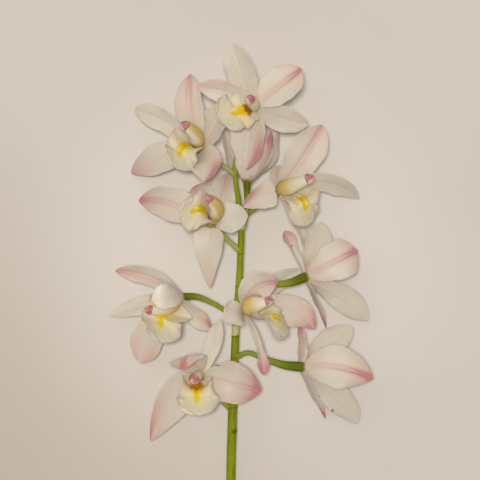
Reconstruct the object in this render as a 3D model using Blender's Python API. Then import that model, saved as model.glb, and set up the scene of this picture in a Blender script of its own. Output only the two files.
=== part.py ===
"""A cut stem of mini cymbidium orchid with ten open blooms, lying on a surface.

The plan is the view from above. A place on it is read on a square grid, x to the right and
y down the stem, and a height above the surface is in millimetres. Sizes are in metres
unless a name ends in _mm.
"""

import math

import bmesh
import bpy
from mathutils import Vector

MM = 0.001

# The plan: one grid step as a real size, and the grid place of the stem's own origin
PLAN_STEP = 0.65 * MM
PLAN_CENTRE = (240.5, 368.0)

# The stalk, from the cut end to the fork under the top two blooms
CUT_SLANT = 3.0 * MM
STALK_SIDES = 9
STALK_RINGS = 24
PEDICEL_SIDES = 7
PEDICEL_RINGS = 8
PEDICEL_RADIUS = 1.6 * MM
OVARY_RADIUS = 3.2 * MM
OVARY_SHARE = 0.5
OVARY_SWELL = 0.8
BRACTS = "cd"
BRACT_LENGTH = 7.0 * MM
BRACT_HALF = 2.8 * MM
BRACT_STAND_OFF = 2.0 * MM
BRACT_ROWS = 3
BRACT_COLUMNS = 2

# The disc where a bloom's sepals and petals meet, its boss, and the gap to what stands on it
DISC_RADIUS = 3.6 * MM
DISC_HALF = 1.0 * MM
BOSS_RADIUS = 2.6 * MM
BOSS_HEIGHT = 2.4 * MM
DISC_SIDES = 8
ROOT_AT = 0.75
GAP = 0.3 * MM

# Sepals and petals
BLADE_THICK = 0.8 * MM
BLADE_EDGE = 0.62 * MM
BLADE_ROOT = 2.0 * MM
BLADE_TIP = 0.4 * MM
BLADE_WAVE = 0.9 * MM
BLADE_WAVES = 1.4
BLADE_WAVE_SHIFT = 1.9
BLADE_SWELL = 2.0
BLADE_TAPER = 2.4
BLADE_POINT = 0.8
BLADE_ROWS = 6
BLADE_COLUMNS = 4

# Lip: its thickness, its two ridges, where across it they stand and its waved end
LIP_THICK = 0.8 * MM
LIP_EDGE = 0.62 * MM
LIP_ROWS = 9
LIP_RIDGE = 1.1 * MM
LIP_RIDGE_AT = 0.2
LIP_ACROSS = (-1.0, -0.6, -LIP_RIDGE_AT, 0.0, LIP_RIDGE_AT, 0.6, 1.0)
LIP_RIDGE_SPAN = (0.2, 0.8)
LIP_ROOT_DROP = 1.9 * MM
LIP_WAVE = 0.9 * MM
LIP_WAVE_ACROSS = 9.0
LIP_WAVE_ALONG = 14.0

# How wide the lip is along its line, as a share: claw, side lobes, waist and midlobe
LIP_WIDTHS = ((0.0, 0.18), (0.11, 0.30), (0.40, 1.0), (0.5, 1.0), (0.66, 0.58), (0.86, 0.9), (1.0, 0.3))

# How far its sides turn up along its line, in degrees, and down again on the midlobe
LIP_TURNS = ((0.0, 26.0), (0.25, 64.0), (0.5, 64.0), (0.75, -22.0), (1.0, -22.0))

# Column and anther cap
COLUMN_SIDES = 8
COLUMN_RINGS = 6
COLUMN_WIDE = 3.5 * MM
COLUMN_DEEP = 2.7 * MM
COLUMN_RISE = 1.2 * MM
COLUMN_TAPER = 0.22
COLUMN_NECK = 0.32
CAP_SIDES = 8
CAP_LENGTH = 3.2 * MM
CAP_WIDE = 2.7 * MM
CAP_DEEP = 2.1 * MM
CAP_SHARES = (0.0, 0.45, 0.85)

COLOURS = {
    "stalk": ((0.16, 0.27, 0.035, 1.0), 0.45),
    "petal": ((0.86, 0.80, 0.70, 1.0), 0.55),
    "lip": ((0.90, 0.78, 0.42, 1.0), 0.5),
    "column": ((0.66, 0.56, 0.24, 1.0), 0.45),
    "cap": ((0.42, 0.03, 0.05, 1.0), 0.4),
}


# Where each blade lies: its midrib's middle and tip on the plan with their heights, its half
# width in mm, the way its inner face looks where that isn't the bloom's own way, how much
# its edges rise, how far along it is broadest, and where its waves start
def blade_place(mid, tip, half_mm, face=None, cup=0.16, peak=0.5, phase=0.0, wave=1.0):
    return {
        "mid": mid,
        "tip": tip,
        "half": half_mm * MM,
        "face": face,
        "cup": cup,
        "peak": peak,
        "phase": phase,
        "wave": wave,
    }


# Each bloom: the top of its ovary, the way it looks, the middle and end of its column's line,
# the floor, bend and tip of its lip's line with its half width in mm, its pedicel's route and
# its five blades. A place is plan x, plan y and height in mm.
BLOOMS = {
    "a": {
        "base": (257, 108, 44),
        "faces": (-0.45, -0.10, 0.88),
        "column": ((259, 100, 52), (251, 101, 58)),
        "lip": ((247, 117, 52), (238, 115, 60), (226, 127, 57)),
        "lip_half": 13.0,
        "pedicel": ((235, 174, 27.0), (236, 160, 29), (243, 138, 32), (252, 120, 36)),
        "blades": {
            "dorsal": blade_place((242, 76, 46), (233, 44, 43), 10.3, peak=0.55),
            "petal_right": blade_place((279, 87, 48), (301, 70, 50), 12.0, peak=0.62),
            "petal_left": blade_place((226, 93, 51), (197, 88, 49), 7.5, phase=2.0),
            "sepal_right": blade_place((283, 119, 39), (308, 125, 36), 8.6, phase=1.0),
            "sepal_left": blade_place((249, 138, 45), (246, 170, 42), 12.4, phase=3.0),
        },
    },
    "b": {
        "base": (200, 148, 28),
        "faces": (-0.70, 0.10, 0.70),
        "column": ((194, 127, 38), (183, 127, 43)),
        "lip": ((188, 150, 36), (178, 147, 45), (172, 164, 38)),
        "lip_half": 12.0,
        "pedicel": ((235, 174, 27.0), (228, 169, 27), (219, 163, 27), (209, 156, 26)),
        "blades": {
            "dorsal": blade_place((190, 108, 33), (191, 75, 30), 9.6, (-0.3, 0, 1), phase=1.0),
            "petal_left": blade_place((160, 119, 24), (134, 110, 16), 7.4, phase=2.5),
            "sepal_left": blade_place((160, 158, 18), (130, 172, 0.31), 10.0, phase=0.5),
            "sepal_right": blade_place((206, 164, 44), (204, 182, 52), 10.5, (-0.2, 0.5, 0.8)),
            "petal_right": blade_place((213, 126, 36), (219, 106, 40), 8.0, phase=2.0),
        },
    },
    "c": {
        "base": (247, 181, 30),
        "faces": (0.10, 0.90, -0.42),
        "column": ((248, 168, 28.5), (249, 160, 24)),
        "lip": ((248, 174, 23.5), (249, 165, 19), (249, 162, 14)),
        "lip_half": 6.5,
        "pedicel": ((241, 231, 24.3), (245, 220, 25), (247, 207, 26), (247, 194, 28)),
        "blades": {
            "dorsal": blade_place((247, 158, 36), (244, 132, 36), 8.0),
            "petal_right": blade_place((268, 156, 22), (277, 126, 18), 9.0, (-0.5, 0.5, -0.8)),
            "petal_narrow": blade_place((266, 158, 31), (271, 131, 32), 5.0, (-0.8, -0.6, -0.5)),
            "petal_left": blade_place((233, 158, 20), (225, 130, 14), 8.5, (0.5, 0.5, -0.8)),
            "sepal_low": blade_place((252, 165, 8.5), (262, 151, 1.5), 6.5),
        },
    },
    "d": {
        "base": (279, 190, 28),
        "faces": (0.66, 0.0, 0.75),
        "column": ((293, 178, 39), (309, 178, 46)),
        "lip": ((291, 198, 39), (303, 200, 49), (305, 223, 43)),
        "lip_half": 13.5,
        "pedicel": ((241, 228, 24.5), (252, 217, 22), (263, 206, 21), (272, 197, 23)),
        "blades": {
            "dorsal": blade_place((303, 157, 28), (322, 125, 28), 12.0, (0.1, -0.2, 1), peak=0.6),
            "petal_right": blade_place((326, 182, 22), (360, 199, 0.27), 7.0, (0.3, -0.5, 0.6)),
            "sepal_left": blade_place((262, 197, 32), (243, 207, 36), 8.5, (0.2, 0, 1), peak=0.3),
            "sepal_low": blade_place((298, 222, 14), (309, 255, 10), 5.5, (0.6, 0, 0.5)),
            "petal_back": blade_place((277, 178, 24), (282, 166, 15), 5.8, (0.4, 0, 0.8)),
        },
    },
    "e": {
        "base": (212, 224, 30),
        "faces": (-0.35, 0.50, 0.80),
        "column": ((219, 208, 39), (208, 199, 46)),
        "lip": ((203, 215, 40), (194, 209, 48), (180, 222, 41)),
        "lip_half": 12.5,
        "pedicel": ((239, 250, 23.4), (231, 243, 25), (223, 235, 26), (216, 229, 27)),
        "blades": {
            "sepal_left": blade_place((172, 204, 22), (138, 200, 3), 10.5, (-0.2, 0, 1)),
            "sepal_low": blade_place((209, 252, 24), (209, 287, 16), 10.0, (-0.1, 0, 1), peak=0.4),
            "petal_right": blade_place((231, 214, 32.5), (247, 221, 30), 9.5, (0.1, 0, 1)),
            "dorsal": blade_place((222, 197, 25), (229, 173, 15), 8.8, (0.35, 0.2, 1)),
            "petal_left": blade_place((203, 199, 23), (194, 186, 12), 9.0, (-0.3, 0.3, 1)),
        },
    },
    "f": {
        "base": (306, 277, 27),
        "faces": (0.80, 0.20, -0.56),
        "column": ((318, 274, 24.5), (325, 272, 19.5)),
        "lip": ((311, 277, 20), (318, 278, 14), (309, 286, 8)),
        "lip_half": 8.5,
        "pedicel": ((239, 281, 22.0), (251, 281, 27), (269, 284, 30.5), (289, 283, 30.5)),
        "blades": {
            "dorsal": blade_place((334, 262, 33), (357, 250, 30), 13.0, (0.1, 0, -1), peak=0.7),
            "petal_low": blade_place((342, 298, 18), (369, 321, 8), 8.5, (0.2, 0, -1), peak=0.6),
            "petal_up": blade_place((317, 247, 18), (321, 222, 10), 9.0, (0.2, 0, -1), peak=0.6),
            "sepal_up": blade_place((296, 253, 24), (285, 231, 26), 4.0, (0.5, 0.2, -0.8), peak=0.75),
            "sepal_low": blade_place((316, 301, 14), (327, 329, 1.5), 5.0, (0.8, 0.3, -0.3)),
        },
    },
    "g": {
        "base": (181, 297, 26),
        "faces": (-0.80, -0.25, 0.55),
        "column": ((163, 296, 36), (149, 303, 41)),
        "lip": ((168, 313, 33), (158, 319, 41), (162, 341, 35)),
        "lip_half": 11.5,
        "pedicel": ((235, 318, 20.3), (224, 310, 22), (212, 303, 24), (197, 297, 25)),
        "blades": {
            "petal_up": blade_place((150, 277, 26), (115, 271, 20), 6.5, (-0.2, -0.4, 1)),
            "petal_left": blade_place((147, 305, 16), (108, 316, 8), 6.5, (-0.2, 0.4, 1)),
            "sepal_low": blade_place((152, 333, 16), (140, 364, 8), 10.5, (-0.3, 0, 1), peak=0.65),
            "sepal_right": blade_place((197, 318, 26), (211, 330, 24), 5.5, (-0.4, 0, 1)),
            "petal_hood": blade_place((168, 297, 51), (152, 302, 55), 8.0, (-0.3, 0, -1), peak=0.6),
        },
    },
    "h": {
        "base": (243, 310, 36),
        "faces": (0.90, 0.05, 0.43),
        "column": ((256, 298, 43), (269, 300, 46)),
        "lip": ((259, 317, 42), (275, 315, 48), (285, 335, 42)),
        "lip_half": 12.5,
        "pedicel": ((236, 325, 19.8), (233, 321, 24), (234, 315, 30)),
        "blades": {
            "petal_up": blade_place((258, 284, 46), (277, 285, 50), 8.5, (0.2, -0.3, 1)),
            "dorsal": blade_place((273, 285, 18), (303, 270, 10), 6.3, (0.2, -0.2, 1)),
            "sepal_right": blade_place((288, 310, 28), (315, 329, 26), 9.5, (0.1, 0, 1), peak=0.6),
            "petal_left": blade_place((233, 312, 46), (227, 327, 54), 9.0, (0.5, 0.3, 0.9)),
            "sepal_low": blade_place((257, 339, 32), (264, 375, 30), 4.2, (0.3, 0, 1), peak=0.8),
        },
    },
    "i": {
        "base": (200, 376, 33),
        "faces": (-0.20, -0.45, 0.87),
        "column": ((201, 371, 43), (195, 377, 49)),
        "lip": ((198, 389, 41), (198, 396, 50), (201, 414, 44)),
        "lip_half": 13.0,
        "pedicel": ((232, 411, 15.8), (224, 404, 16.5), (214, 391, 18.5), (205, 377, 24)),
        "blades": {
            "petal_up": blade_place((212, 346, 32), (220, 320, 28), 5.4, peak=0.55),
            "petal_right": blade_place((232, 383, 36), (260, 391, 30), 13.0, (0, 0, 1)),
            "sepal_left": blade_place((174, 405, 26), (150, 441, 14), 9.5, (-0.2, -0.1, 1)),
            "dorsal": blade_place((187, 356, 48), (184, 369, 57), 12.5, (0.1, -0.8, 0.3)),
            "sepal_back": blade_place((220, 384, 29), (239, 392, 23), 5.5, (0, 0, 1)),
        },
    },
    "j": {
        "base": (302, 367, 27),
        "faces": (0.75, 0.0, -0.66),
        "column": ((314, 367, 23.5), (321, 367, 18)),
        "lip": ((306, 370, 19.5), (313, 372, 13), (304, 376, 8)),
        "lip_half": 8.5,
        "pedicel": ((235, 358, 18.3), (248, 353, 21), (262, 358, 23), (283, 365, 25)),
        "blades": {
            "dorsal": blade_place((338, 367, 33), (373, 379, 30), 13.6, (0.1, 0, -1)),
            "petal_up": blade_place((331, 343, 18), (354, 328, 12), 9.0, (0.2, 0, -1)),
            "petal_low": blade_place((337, 398, 16), (359, 425, 4), 9.0, (0.2, 0, -1)),
            "sepal_up": blade_place((302, 345, 22), (299, 327, 20), 5.0, (0.7, 0, -0.5)),
            "sepal_low": blade_place((314, 396, 12), (326, 420, 1.5), 5.0, (0.7, 0.3, -0.4)),
        },
    },
}

# The stalk's line from the cut end up: plan place, height of its axis in mm, radius in mm
STALK_LINE = (
    (229, 688, 3.11, 2.95),
    (229.5, 600, 7.0, 2.95),
    (230, 520, 10.9, 2.95),
    (231, 460, 13.7, 2.95),
    (232.5, 410, 16.0, 2.9),
    (234.5, 358, 18.5, 2.55),
    (236, 322, 20.1, 2.35),
    (239, 282, 22.0, 2.1),
    (240.5, 250, 23.5, 2.0),
    (241, 231, 24.4, 1.95),
    (239, 205, 25.6, 1.7),
    (236, 185, 26.5, 1.5),
    (235, 172, 27.1, 1.4),
)


def place(x, y, height_mm):
    """The point over a place on the plan, in metres from the stem's origin."""
    return Vector(
        (
            (x - PLAN_CENTRE[0]) * PLAN_STEP,
            (PLAN_CENTRE[1] - y) * PLAN_STEP,
            height_mm * MM,
        )
    )


def square_to(vector, direction):
    """The part of a vector that is at right angles to a direction, as a unit vector."""
    rest = vector - direction * vector.dot(direction)
    return rest.normalized()


def bezier(start, middle, end, t):
    """A point on the curve from start to end that passes middle half way."""
    pull = middle * 2.0 - (start + end) * 0.5
    return start.lerp(pull, t).lerp(pull.lerp(end, t), t)


def spline(points, t):
    """A point on a smooth curve through all points, for t from 0 to 1."""
    spans = len(points) - 1
    i = min(int(t * spans), spans - 1)
    s = t * spans - i
    start = points[i]
    end = points[i + 1]
    before = points[i - 1] if i > 0 else start * 2.0 - end
    after = points[i + 2] if i + 2 <= spans else end * 2.0 - start
    return (
        start * 2.0
        + (end - before) * s
        + (before * 2.0 - start * 5.0 + end * 4.0 - after) * (s * s)
        + (start * 3.0 - before - end * 3.0 + after) * (s * s * s)
    ) * 0.5


def heading(curve, t):
    """The direction of a curve at t, as a unit vector."""
    return (curve(min(t + 0.01, 1.0)) - curve(max(t - 0.01, 0.0))).normalized()


def sheet_solid(grid, facing, thick, edge):
    """A closed thin solid round a grid of points, split alike on both faces."""
    rows = len(grid)
    columns = len(grid[0])
    front = []
    back = []
    for i in range(rows):
        for j in range(columns):
            along = grid[min(i + 1, rows - 1)][j] - grid[max(i - 1, 0)][j]
            across = grid[i][min(j + 1, columns - 1)] - grid[i][max(j - 1, 0)]
            normal = across.cross(along).normalized()
            if normal.dot(facing[i]) < 0:
                normal = -normal
            share = abs(2.0 * j / (columns - 1) - 1.0)
            half = 0.5 * (thick + (edge - thick) * share)
            front.append(grid[i][j] + normal * half)
            back.append(grid[i][j] - normal * half)
    count = rows * columns
    faces = []
    for i in range(rows - 1):
        for j in range(columns - 1):
            a = i * columns + j
            b = a + 1
            c = a + columns
            d = c + 1
            split = ((a, b, d), (a, d, c)) if j < columns // 2 else ((a, b, c), (b, d, c))
            for p, q, r in split:
                faces.append((p, q, r))
                faces.append((r + count, q + count, p + count))
    rim = list(range(columns))
    rim += [i * columns + columns - 1 for i in range(1, rows)]
    rim += [(rows - 1) * columns + j for j in range(columns - 2, -1, -1)]
    rim += [i * columns for i in range(rows - 2, 0, -1)]
    for a, b in zip(rim, rim[1:] + rim[:1]):
        faces.append((b, a, a + count))
        faces.append((b, a + count, b + count))
    return front + back, faces


def ring_solid(rings, first, last):
    """A closed body through rings of points, with a fan to a point at each end."""
    sides = len(rings[0])
    points = [point for ring in rings for point in ring]
    faces = []
    for i in range(len(rings) - 1):
        for j in range(sides):
            a = i * sides + j
            b = i * sides + (j + 1) % sides
            faces.append((a, b, b + sides))
            faces.append((a, b + sides, a + sides))
    start = len(points)
    points.append(first)
    points.append(last)
    final = (len(rings) - 1) * sides
    for j in range(sides):
        k = (j + 1) % sides
        faces.append((start, k, j))
        faces.append((start + 1, final + j, final + k))
    return points, faces


def oval(centre, side, up, wide, deep, sides):
    """A ring of points round a centre."""
    ring = []
    for k in range(sides):
        angle = 2.0 * math.pi * k / sides
        ring.append(centre + side * (wide * math.cos(angle)) + up * (deep * math.sin(angle)))
    return ring


def outward(points, faces):
    """The faces turned so that the solid's volume is positive."""
    volume = sum(points[a].dot(points[b].cross(points[c])) for a, b, c in faces)
    if volume < 0:
        return [(c, b, a) for a, b, c in faces]
    return faces


def material(kind):
    """The Principled material of one kind of surface."""
    made = bpy.data.materials.get(kind)
    if made:
        return made
    colour, roughness = COLOURS[kind]
    made = bpy.data.materials.new(kind)
    made.use_nodes = True
    shader = made.node_tree.nodes["Principled BSDF"]
    shader.inputs["Base Color"].default_value = colour
    shader.inputs["Roughness"].default_value = roughness
    shader.inputs["Metallic"].default_value = 0.0
    return made


def solid_object(name, points, faces, kind):
    """A mesh object from points and triangles."""
    mesh = bpy.data.meshes.new(name)
    mesh.from_pydata([tuple(point) for point in points], [], outward(points, faces))
    mesh.materials.append(material(kind))
    mesh.shade_smooth()
    made = bpy.data.objects.new(name, mesh)
    bpy.context.scene.collection.objects.link(made)
    return made


def keep_largest_body(mesh):
    """Drops loose scraps and fills sealed hollows that a union leaves in a mesh."""
    work = bmesh.new()
    work.from_mesh(mesh)
    unseen = set(work.faces)
    bodies = []
    while unseen:
        newest = {unseen.pop()}
        found = set(newest)
        while newest:
            joined = [e.link_faces for f in newest for e in f.edges if len(e.link_faces) == 2]
            newest = {f for pair in joined for f in pair} - found
            found |= newest
        unseen -= found
        bodies.append(found)
    bodies.sort(key=len)
    for scrap in bodies[:-1]:
        bmesh.ops.delete(work, geom=list(scrap), context="FACES")
    work.to_mesh(mesh)
    work.free()


def fuse(name, pieces, kind):
    """One closed body made of several that cross each other."""
    first, rest = pieces[0], pieces[1:]
    group = bpy.data.collections.new(name + "_parts")
    bpy.context.scene.collection.children.link(group)
    for piece in rest:
        bpy.context.scene.collection.objects.unlink(piece)
        group.objects.link(piece)
    join = first.modifiers.new("join", "BOOLEAN")
    join.operation = "UNION"
    join.operand_type = "COLLECTION"
    join.collection = group
    join.solver = "EXACT"
    graph = bpy.context.evaluated_depsgraph_get()
    mesh = bpy.data.meshes.new_from_object(first.evaluated_get(graph))
    for piece in pieces:
        bpy.data.objects.remove(piece, do_unlink=True)
    bpy.data.collections.remove(group)
    keep_largest_body(mesh)
    mesh.name = name
    mesh.materials.clear()
    mesh.materials.append(material(kind))
    made = bpy.data.objects.new(name, mesh)
    bpy.context.scene.collection.objects.link(made)
    return made


def bloom_frame(bloom):
    """A bloom's base, the way it looks, its dorsal direction and its side."""
    faces_to = Vector(bloom["faces"]).normalized()
    lip_to_column = place(*bloom["column"][0]) - place(*bloom["lip"][0])
    dorsal = square_to(lip_to_column, faces_to)
    return place(*bloom["base"]), faces_to, dorsal, faces_to.cross(dorsal)


def blade_half_width(t, half, peak):
    """Half the width along a blade: narrow root, broadest at the peak, pointed tip."""
    if t < peak:
        return half - (half - BLADE_ROOT) * (1.0 - t / peak) ** BLADE_SWELL
    fall = (t - peak) / (1.0 - peak)
    return max(half * (1.0 - fall**BLADE_TAPER) ** BLADE_POINT, BLADE_TIP)


def blade(shape, frame):
    """The points and triangles of one sepal or petal."""
    base, faces_to, _, _ = frame
    middle = place(*shape["mid"])
    tip = place(*shape["tip"])
    root = base + square_to(middle - base, faces_to) * (ROOT_AT * DISC_RADIUS)
    own_face = Vector(shape["face"]).normalized() if shape["face"] else faces_to

    def curve(t):
        return bezier(root, middle, tip, t)

    start = heading(curve, 0.0)
    half_way = heading(curve, 0.5)
    root_side = start.cross(square_to(faces_to, start))
    blade_side = half_way.cross(square_to(own_face, half_way))
    grid = []
    facing = []
    for row in range(BLADE_ROWS + 1):
        t = row / BLADE_ROWS
        along = heading(curve, t)
        side = square_to(root_side.lerp(blade_side, min(2.0 * t, 1.0)), along)
        face = side.cross(along)
        half = blade_half_width(t, shape["half"], shape["peak"])
        ripple = shape["wave"] * BLADE_WAVE * min(2.0 * t, 1.0) * (half / shape["half"])
        line = []
        for column in range(BLADE_COLUMNS + 1):
            s = 2.0 * column / BLADE_COLUMNS - 1.0
            turn = 2.0 * math.pi * BLADE_WAVES * t + shape["phase"] + BLADE_WAVE_SHIFT * (s > 0)
            rise = shape["cup"] * half * s * s + ripple * math.sin(turn) * abs(s) ** 3
            line.append(curve(t) + side * (half * s) + face * rise)
        grid.append(line)
        facing.append(face)
    return sheet_solid(grid, facing, BLADE_THICK, BLADE_EDGE)


def sepals_and_petals(letter, bloom, frame):
    """The five blades of a bloom on their disc."""
    name = f"bloom_{letter}_sepals_petals"
    base, faces_to, dorsal, side = frame
    steps = (
        (-DISC_HALF, DISC_RADIUS),
        (0.5 * DISC_HALF, DISC_RADIUS),
        (DISC_HALF, BOSS_RADIUS),
        (BOSS_HEIGHT, BOSS_RADIUS),
    )
    rings = []
    for height, radius in steps:
        rings.append(oval(base + faces_to * height, side, dorsal, radius, radius, DISC_SIDES))
    low = base - faces_to * DISC_HALF
    high = base + faces_to * BOSS_HEIGHT
    pieces = [solid_object(name + "_disc", *ring_solid(rings, low, high), "petal")]
    for part, shape in bloom["blades"].items():
        pieces.append(solid_object(f"{name}_{part}", *blade(shape, frame), "petal"))
    return fuse(name, pieces, "petal")


def profile(pairs, t):
    """The value at t of a smooth line through pairs of place and value."""
    for (start, low), (end, high) in zip(pairs, pairs[1:]):
        if t <= end:
            share = (t - start) / (end - start)
            return low + (high - low) * share * share * (3.0 - 2.0 * share)
    return pairs[-1][1]


def lip(letter, bloom, frame):
    """The lip: a waved sheet that runs out under the column and bends down."""
    base, faces_to, dorsal, side = frame
    root = base + faces_to * (BOSS_HEIGHT + GAP) - dorsal * LIP_ROOT_DROP
    points = [root] + [place(*point) for point in bloom["lip"]]
    starts, ends = LIP_RIDGE_SPAN

    def curve(t):
        return spline(points, t)

    grid = []
    facing = []
    for row in range(LIP_ROWS + 1):
        t = row / LIP_ROWS
        along = heading(curve, t)
        across = square_to(side, along)
        face = across.cross(along)
        half = bloom["lip_half"] * MM * profile(LIP_WIDTHS, t)
        turn = math.radians(profile(LIP_TURNS, t))
        radius = half / turn
        line = []
        for s in LIP_ACROSS:
            angle = s * turn
            bend = face * (radius * (1.0 - math.cos(angle)))
            ridge = 0.0
            if abs(s) == LIP_RIDGE_AT and starts < t < ends:
                ridge = LIP_RIDGE * math.sin(math.pi * (t - starts) / (ends - starts))
            turns = LIP_WAVE_ACROSS * s + LIP_WAVE_ALONG * t
            wave = LIP_WAVE * math.sin(turns) * s * s * max(2.0 * t - 1.0, 0.0)
            out = across * (radius * math.sin(angle))
            line.append(curve(t) + out + bend + face * (ridge + wave))
        grid.append(line)
        facing.append(face)
    solid = sheet_solid(grid, facing, LIP_THICK, LIP_EDGE)
    return solid_object(f"bloom_{letter}_lip", *solid, "lip")


def column_curve(bloom, frame):
    """The arched line of the column, from the disc to under the anther cap."""
    base, faces_to, dorsal, _ = frame
    start = base + faces_to * (BOSS_HEIGHT + GAP) + dorsal * COLUMN_RISE
    middle, end = (place(*point) for point in bloom["column"])
    return lambda t: bezier(start, middle, end, t)


def column(letter, bloom, frame):
    """The column that arches over the lip."""
    _, faces_to, dorsal, side = frame
    curve = column_curve(bloom, frame)
    rings = []
    for k in range(COLUMN_RINGS):
        t = k / (COLUMN_RINGS - 1)
        along = faces_to if k == 0 else heading(curve, t)
        across = square_to(side, along)
        up = across.cross(along)
        swell = 1.0 - COLUMN_TAPER * t - COLUMN_NECK * (1.0 - t) ** 4
        wide, deep = COLUMN_WIDE * swell, COLUMN_DEEP * swell
        rings.append(oval(curve(t), across, up, wide, deep, COLUMN_SIDES))
    return solid_object(
        f"bloom_{letter}_column", *ring_solid(rings, curve(0.0), curve(1.0)), "column"
    )


def anther_cap(letter, bloom, frame):
    """The domed cap that sits on the column's end."""
    side = frame[3]
    curve = column_curve(bloom, frame)
    along = heading(curve, 1.0)
    across = square_to(side, along)
    up = across.cross(along)
    foot = curve(1.0) + along * GAP
    rings = []
    for share in CAP_SHARES:
        narrow = math.sqrt(1.0 - share * share)
        centre = foot + along * (CAP_LENGTH * share)
        rings.append(oval(centre, across, up, CAP_WIDE * narrow, CAP_DEEP * narrow, CAP_SIDES))
    solid = ring_solid(rings, foot, foot + along * CAP_LENGTH)
    return solid_object(f"bloom_{letter}_anther_cap", *solid, "cap")


def round_tube(line, radii, sides, end_normal=None, end_slant=0.0):
    """A round tube along points, its last ring square to end_normal where that is given."""
    up = Vector((0.0, 0.0, 1.0))
    rings = []
    for k, centre in enumerate(line):
        ahead = line[min(k + 1, len(line) - 1)]
        behind = line[max(k - 1, 0)]
        along = (ahead - behind).normalized()
        if k == len(line) - 1 and end_normal is not None:
            along = end_normal
        up = square_to(up, along)
        ring = oval(centre, along.cross(up), up, radii[k], radii[k], sides)
        if k == 0:
            ring = [point + along * (end_slant * (point - centre).dot(up) / radii[k]) for point in ring]
        rings.append(ring)
    return ring_solid(rings, line[0], line[-1])


def pedicel(bloom, frame):
    """The stalk of one bloom, from the rachis to its ovary's end."""
    base, faces_to, _, _ = frame
    end = base - faces_to * (DISC_HALF + GAP)
    route = [place(*point) for point in bloom["pedicel"]] + [end]
    line = [spline(route, k / (PEDICEL_RINGS - 1)) for k in range(PEDICEL_RINGS)]
    radii = []
    for k in range(PEDICEL_RINGS):
        grown = max((k / (PEDICEL_RINGS - 1) - (1.0 - OVARY_SHARE)) / OVARY_SHARE, 0.0)
        radii.append(PEDICEL_RADIUS + (OVARY_RADIUS - PEDICEL_RADIUS) * grown**OVARY_SWELL)
    return round_tube(line, radii, PEDICEL_SIDES, end_normal=faces_to)


def bract(bloom):
    """The small pointed scale under the foot of a pedicel, on the side of the cut end."""
    foot, ahead = (place(*point) for point in bloom["pedicel"][:2])
    along = (ahead - foot).normalized()
    under = square_to(Vector((0.0, -1.0, 0.0)), along)
    across = along.cross(under)
    grid = []
    facing = []
    for row in range(BRACT_ROWS + 1):
        t = row / BRACT_ROWS
        half = max(BRACT_HALF * (1.0 - t**1.6), BLADE_TIP)
        centre = foot + along * (BRACT_LENGTH * t) + under * (BRACT_STAND_OFF * min(2.0 * t, 1.0))
        line = []
        for column in range(BRACT_COLUMNS + 1):
            s = 2.0 * column / BRACT_COLUMNS - 1.0
            line.append(centre + across * (half * s) - under * (0.5 * half * s * s))
        grid.append(line)
        facing.append(-under)
    return sheet_solid(grid, facing, BLADE_THICK, BLADE_EDGE)


def rachis():
    """The main stalk, with a slanted cut at its foot."""
    points = [place(x, y, z) for x, y, z, _ in STALK_LINE]
    widths = [Vector((radius * MM, 0.0)) for _, _, _, radius in STALK_LINE]
    shares = [k / (STALK_RINGS - 1) for k in range(STALK_RINGS)]
    line = [spline(points, share) for share in shares]
    radii = [spline(widths, share).x for share in shares]
    return round_tube(line, radii, STALK_SIDES, end_slant=CUT_SLANT)


def flower_stalk(frames):
    """The rachis with all its pedicels and bracts, in one body."""
    name = "flower_stalk"
    pieces = [solid_object(name + "_rachis", *rachis(), "stalk")]
    for letter, bloom in BLOOMS.items():
        route = pedicel(bloom, frames[letter])
        pieces.append(solid_object(f"{name}_pedicel_{letter}", *route, "stalk"))
        if letter in BRACTS:
            pieces.append(solid_object(f"{name}_bract_{letter}", *bract(bloom), "stalk"))
    return fuse(name, pieces, "stalk")


def main():
    for leftover in list(bpy.data.objects):
        bpy.data.objects.remove(leftover, do_unlink=True)
    frames = {letter: bloom_frame(bloom) for letter, bloom in BLOOMS.items()}
    flower_stalk(frames)
    for letter, bloom in BLOOMS.items():
        sepals_and_petals(letter, bloom, frames[letter])
        lip(letter, bloom, frames[letter])
        column(letter, bloom, frames[letter])
        anther_cap(letter, bloom, frames[letter])


main()
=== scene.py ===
"""The looks of a cut mini cymbidium stem: ten cream blooms with rose stripes on a green stalk.

It lies on the floor and is seen from straight above. A place on the plan is read on a square
grid, x to the right and y down the stem, and a height above the floor is in millimetres.
Sizes are in metres unless a name ends in _mm. In the formulas t runs along a piece, from 0 at
its root to 1 at its tip, and s runs across it, from -1 to 1.
"""

import math
from dataclasses import dataclass

import bpy
import numpy as np
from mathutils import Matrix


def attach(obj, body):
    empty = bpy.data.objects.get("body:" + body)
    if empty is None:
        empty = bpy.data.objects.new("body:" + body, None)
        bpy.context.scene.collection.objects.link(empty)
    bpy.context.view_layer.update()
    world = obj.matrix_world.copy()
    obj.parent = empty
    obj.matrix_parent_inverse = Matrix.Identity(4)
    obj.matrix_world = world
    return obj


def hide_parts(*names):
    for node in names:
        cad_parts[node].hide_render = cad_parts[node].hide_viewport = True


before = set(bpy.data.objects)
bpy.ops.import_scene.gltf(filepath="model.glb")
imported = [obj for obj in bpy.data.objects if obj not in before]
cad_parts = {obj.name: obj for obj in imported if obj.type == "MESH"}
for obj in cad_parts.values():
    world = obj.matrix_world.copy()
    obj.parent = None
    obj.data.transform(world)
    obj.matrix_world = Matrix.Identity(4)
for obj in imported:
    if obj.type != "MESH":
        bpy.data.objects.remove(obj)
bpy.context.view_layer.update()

MM = 0.001
FULL_TURN = 2 * math.pi

# The plan: one grid step as a real size, and the grid place of the stem's own origin
PLAN_STEP = 0.65 * MM
PLAN_CENTRE = (240.5, 368)

# The disc where sepals and petals meet, the boss on it, and how far out on it a midrib starts
DISC_RADIUS = 3.6 * MM
DISC_HALF = 1.0 * MM
DISC_SIDES = 32
BOSS_RADIUS = 2.6 * MM
BOSS_HEIGHT = 2.4 * MM
ROOT_AT = 0.75

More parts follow.
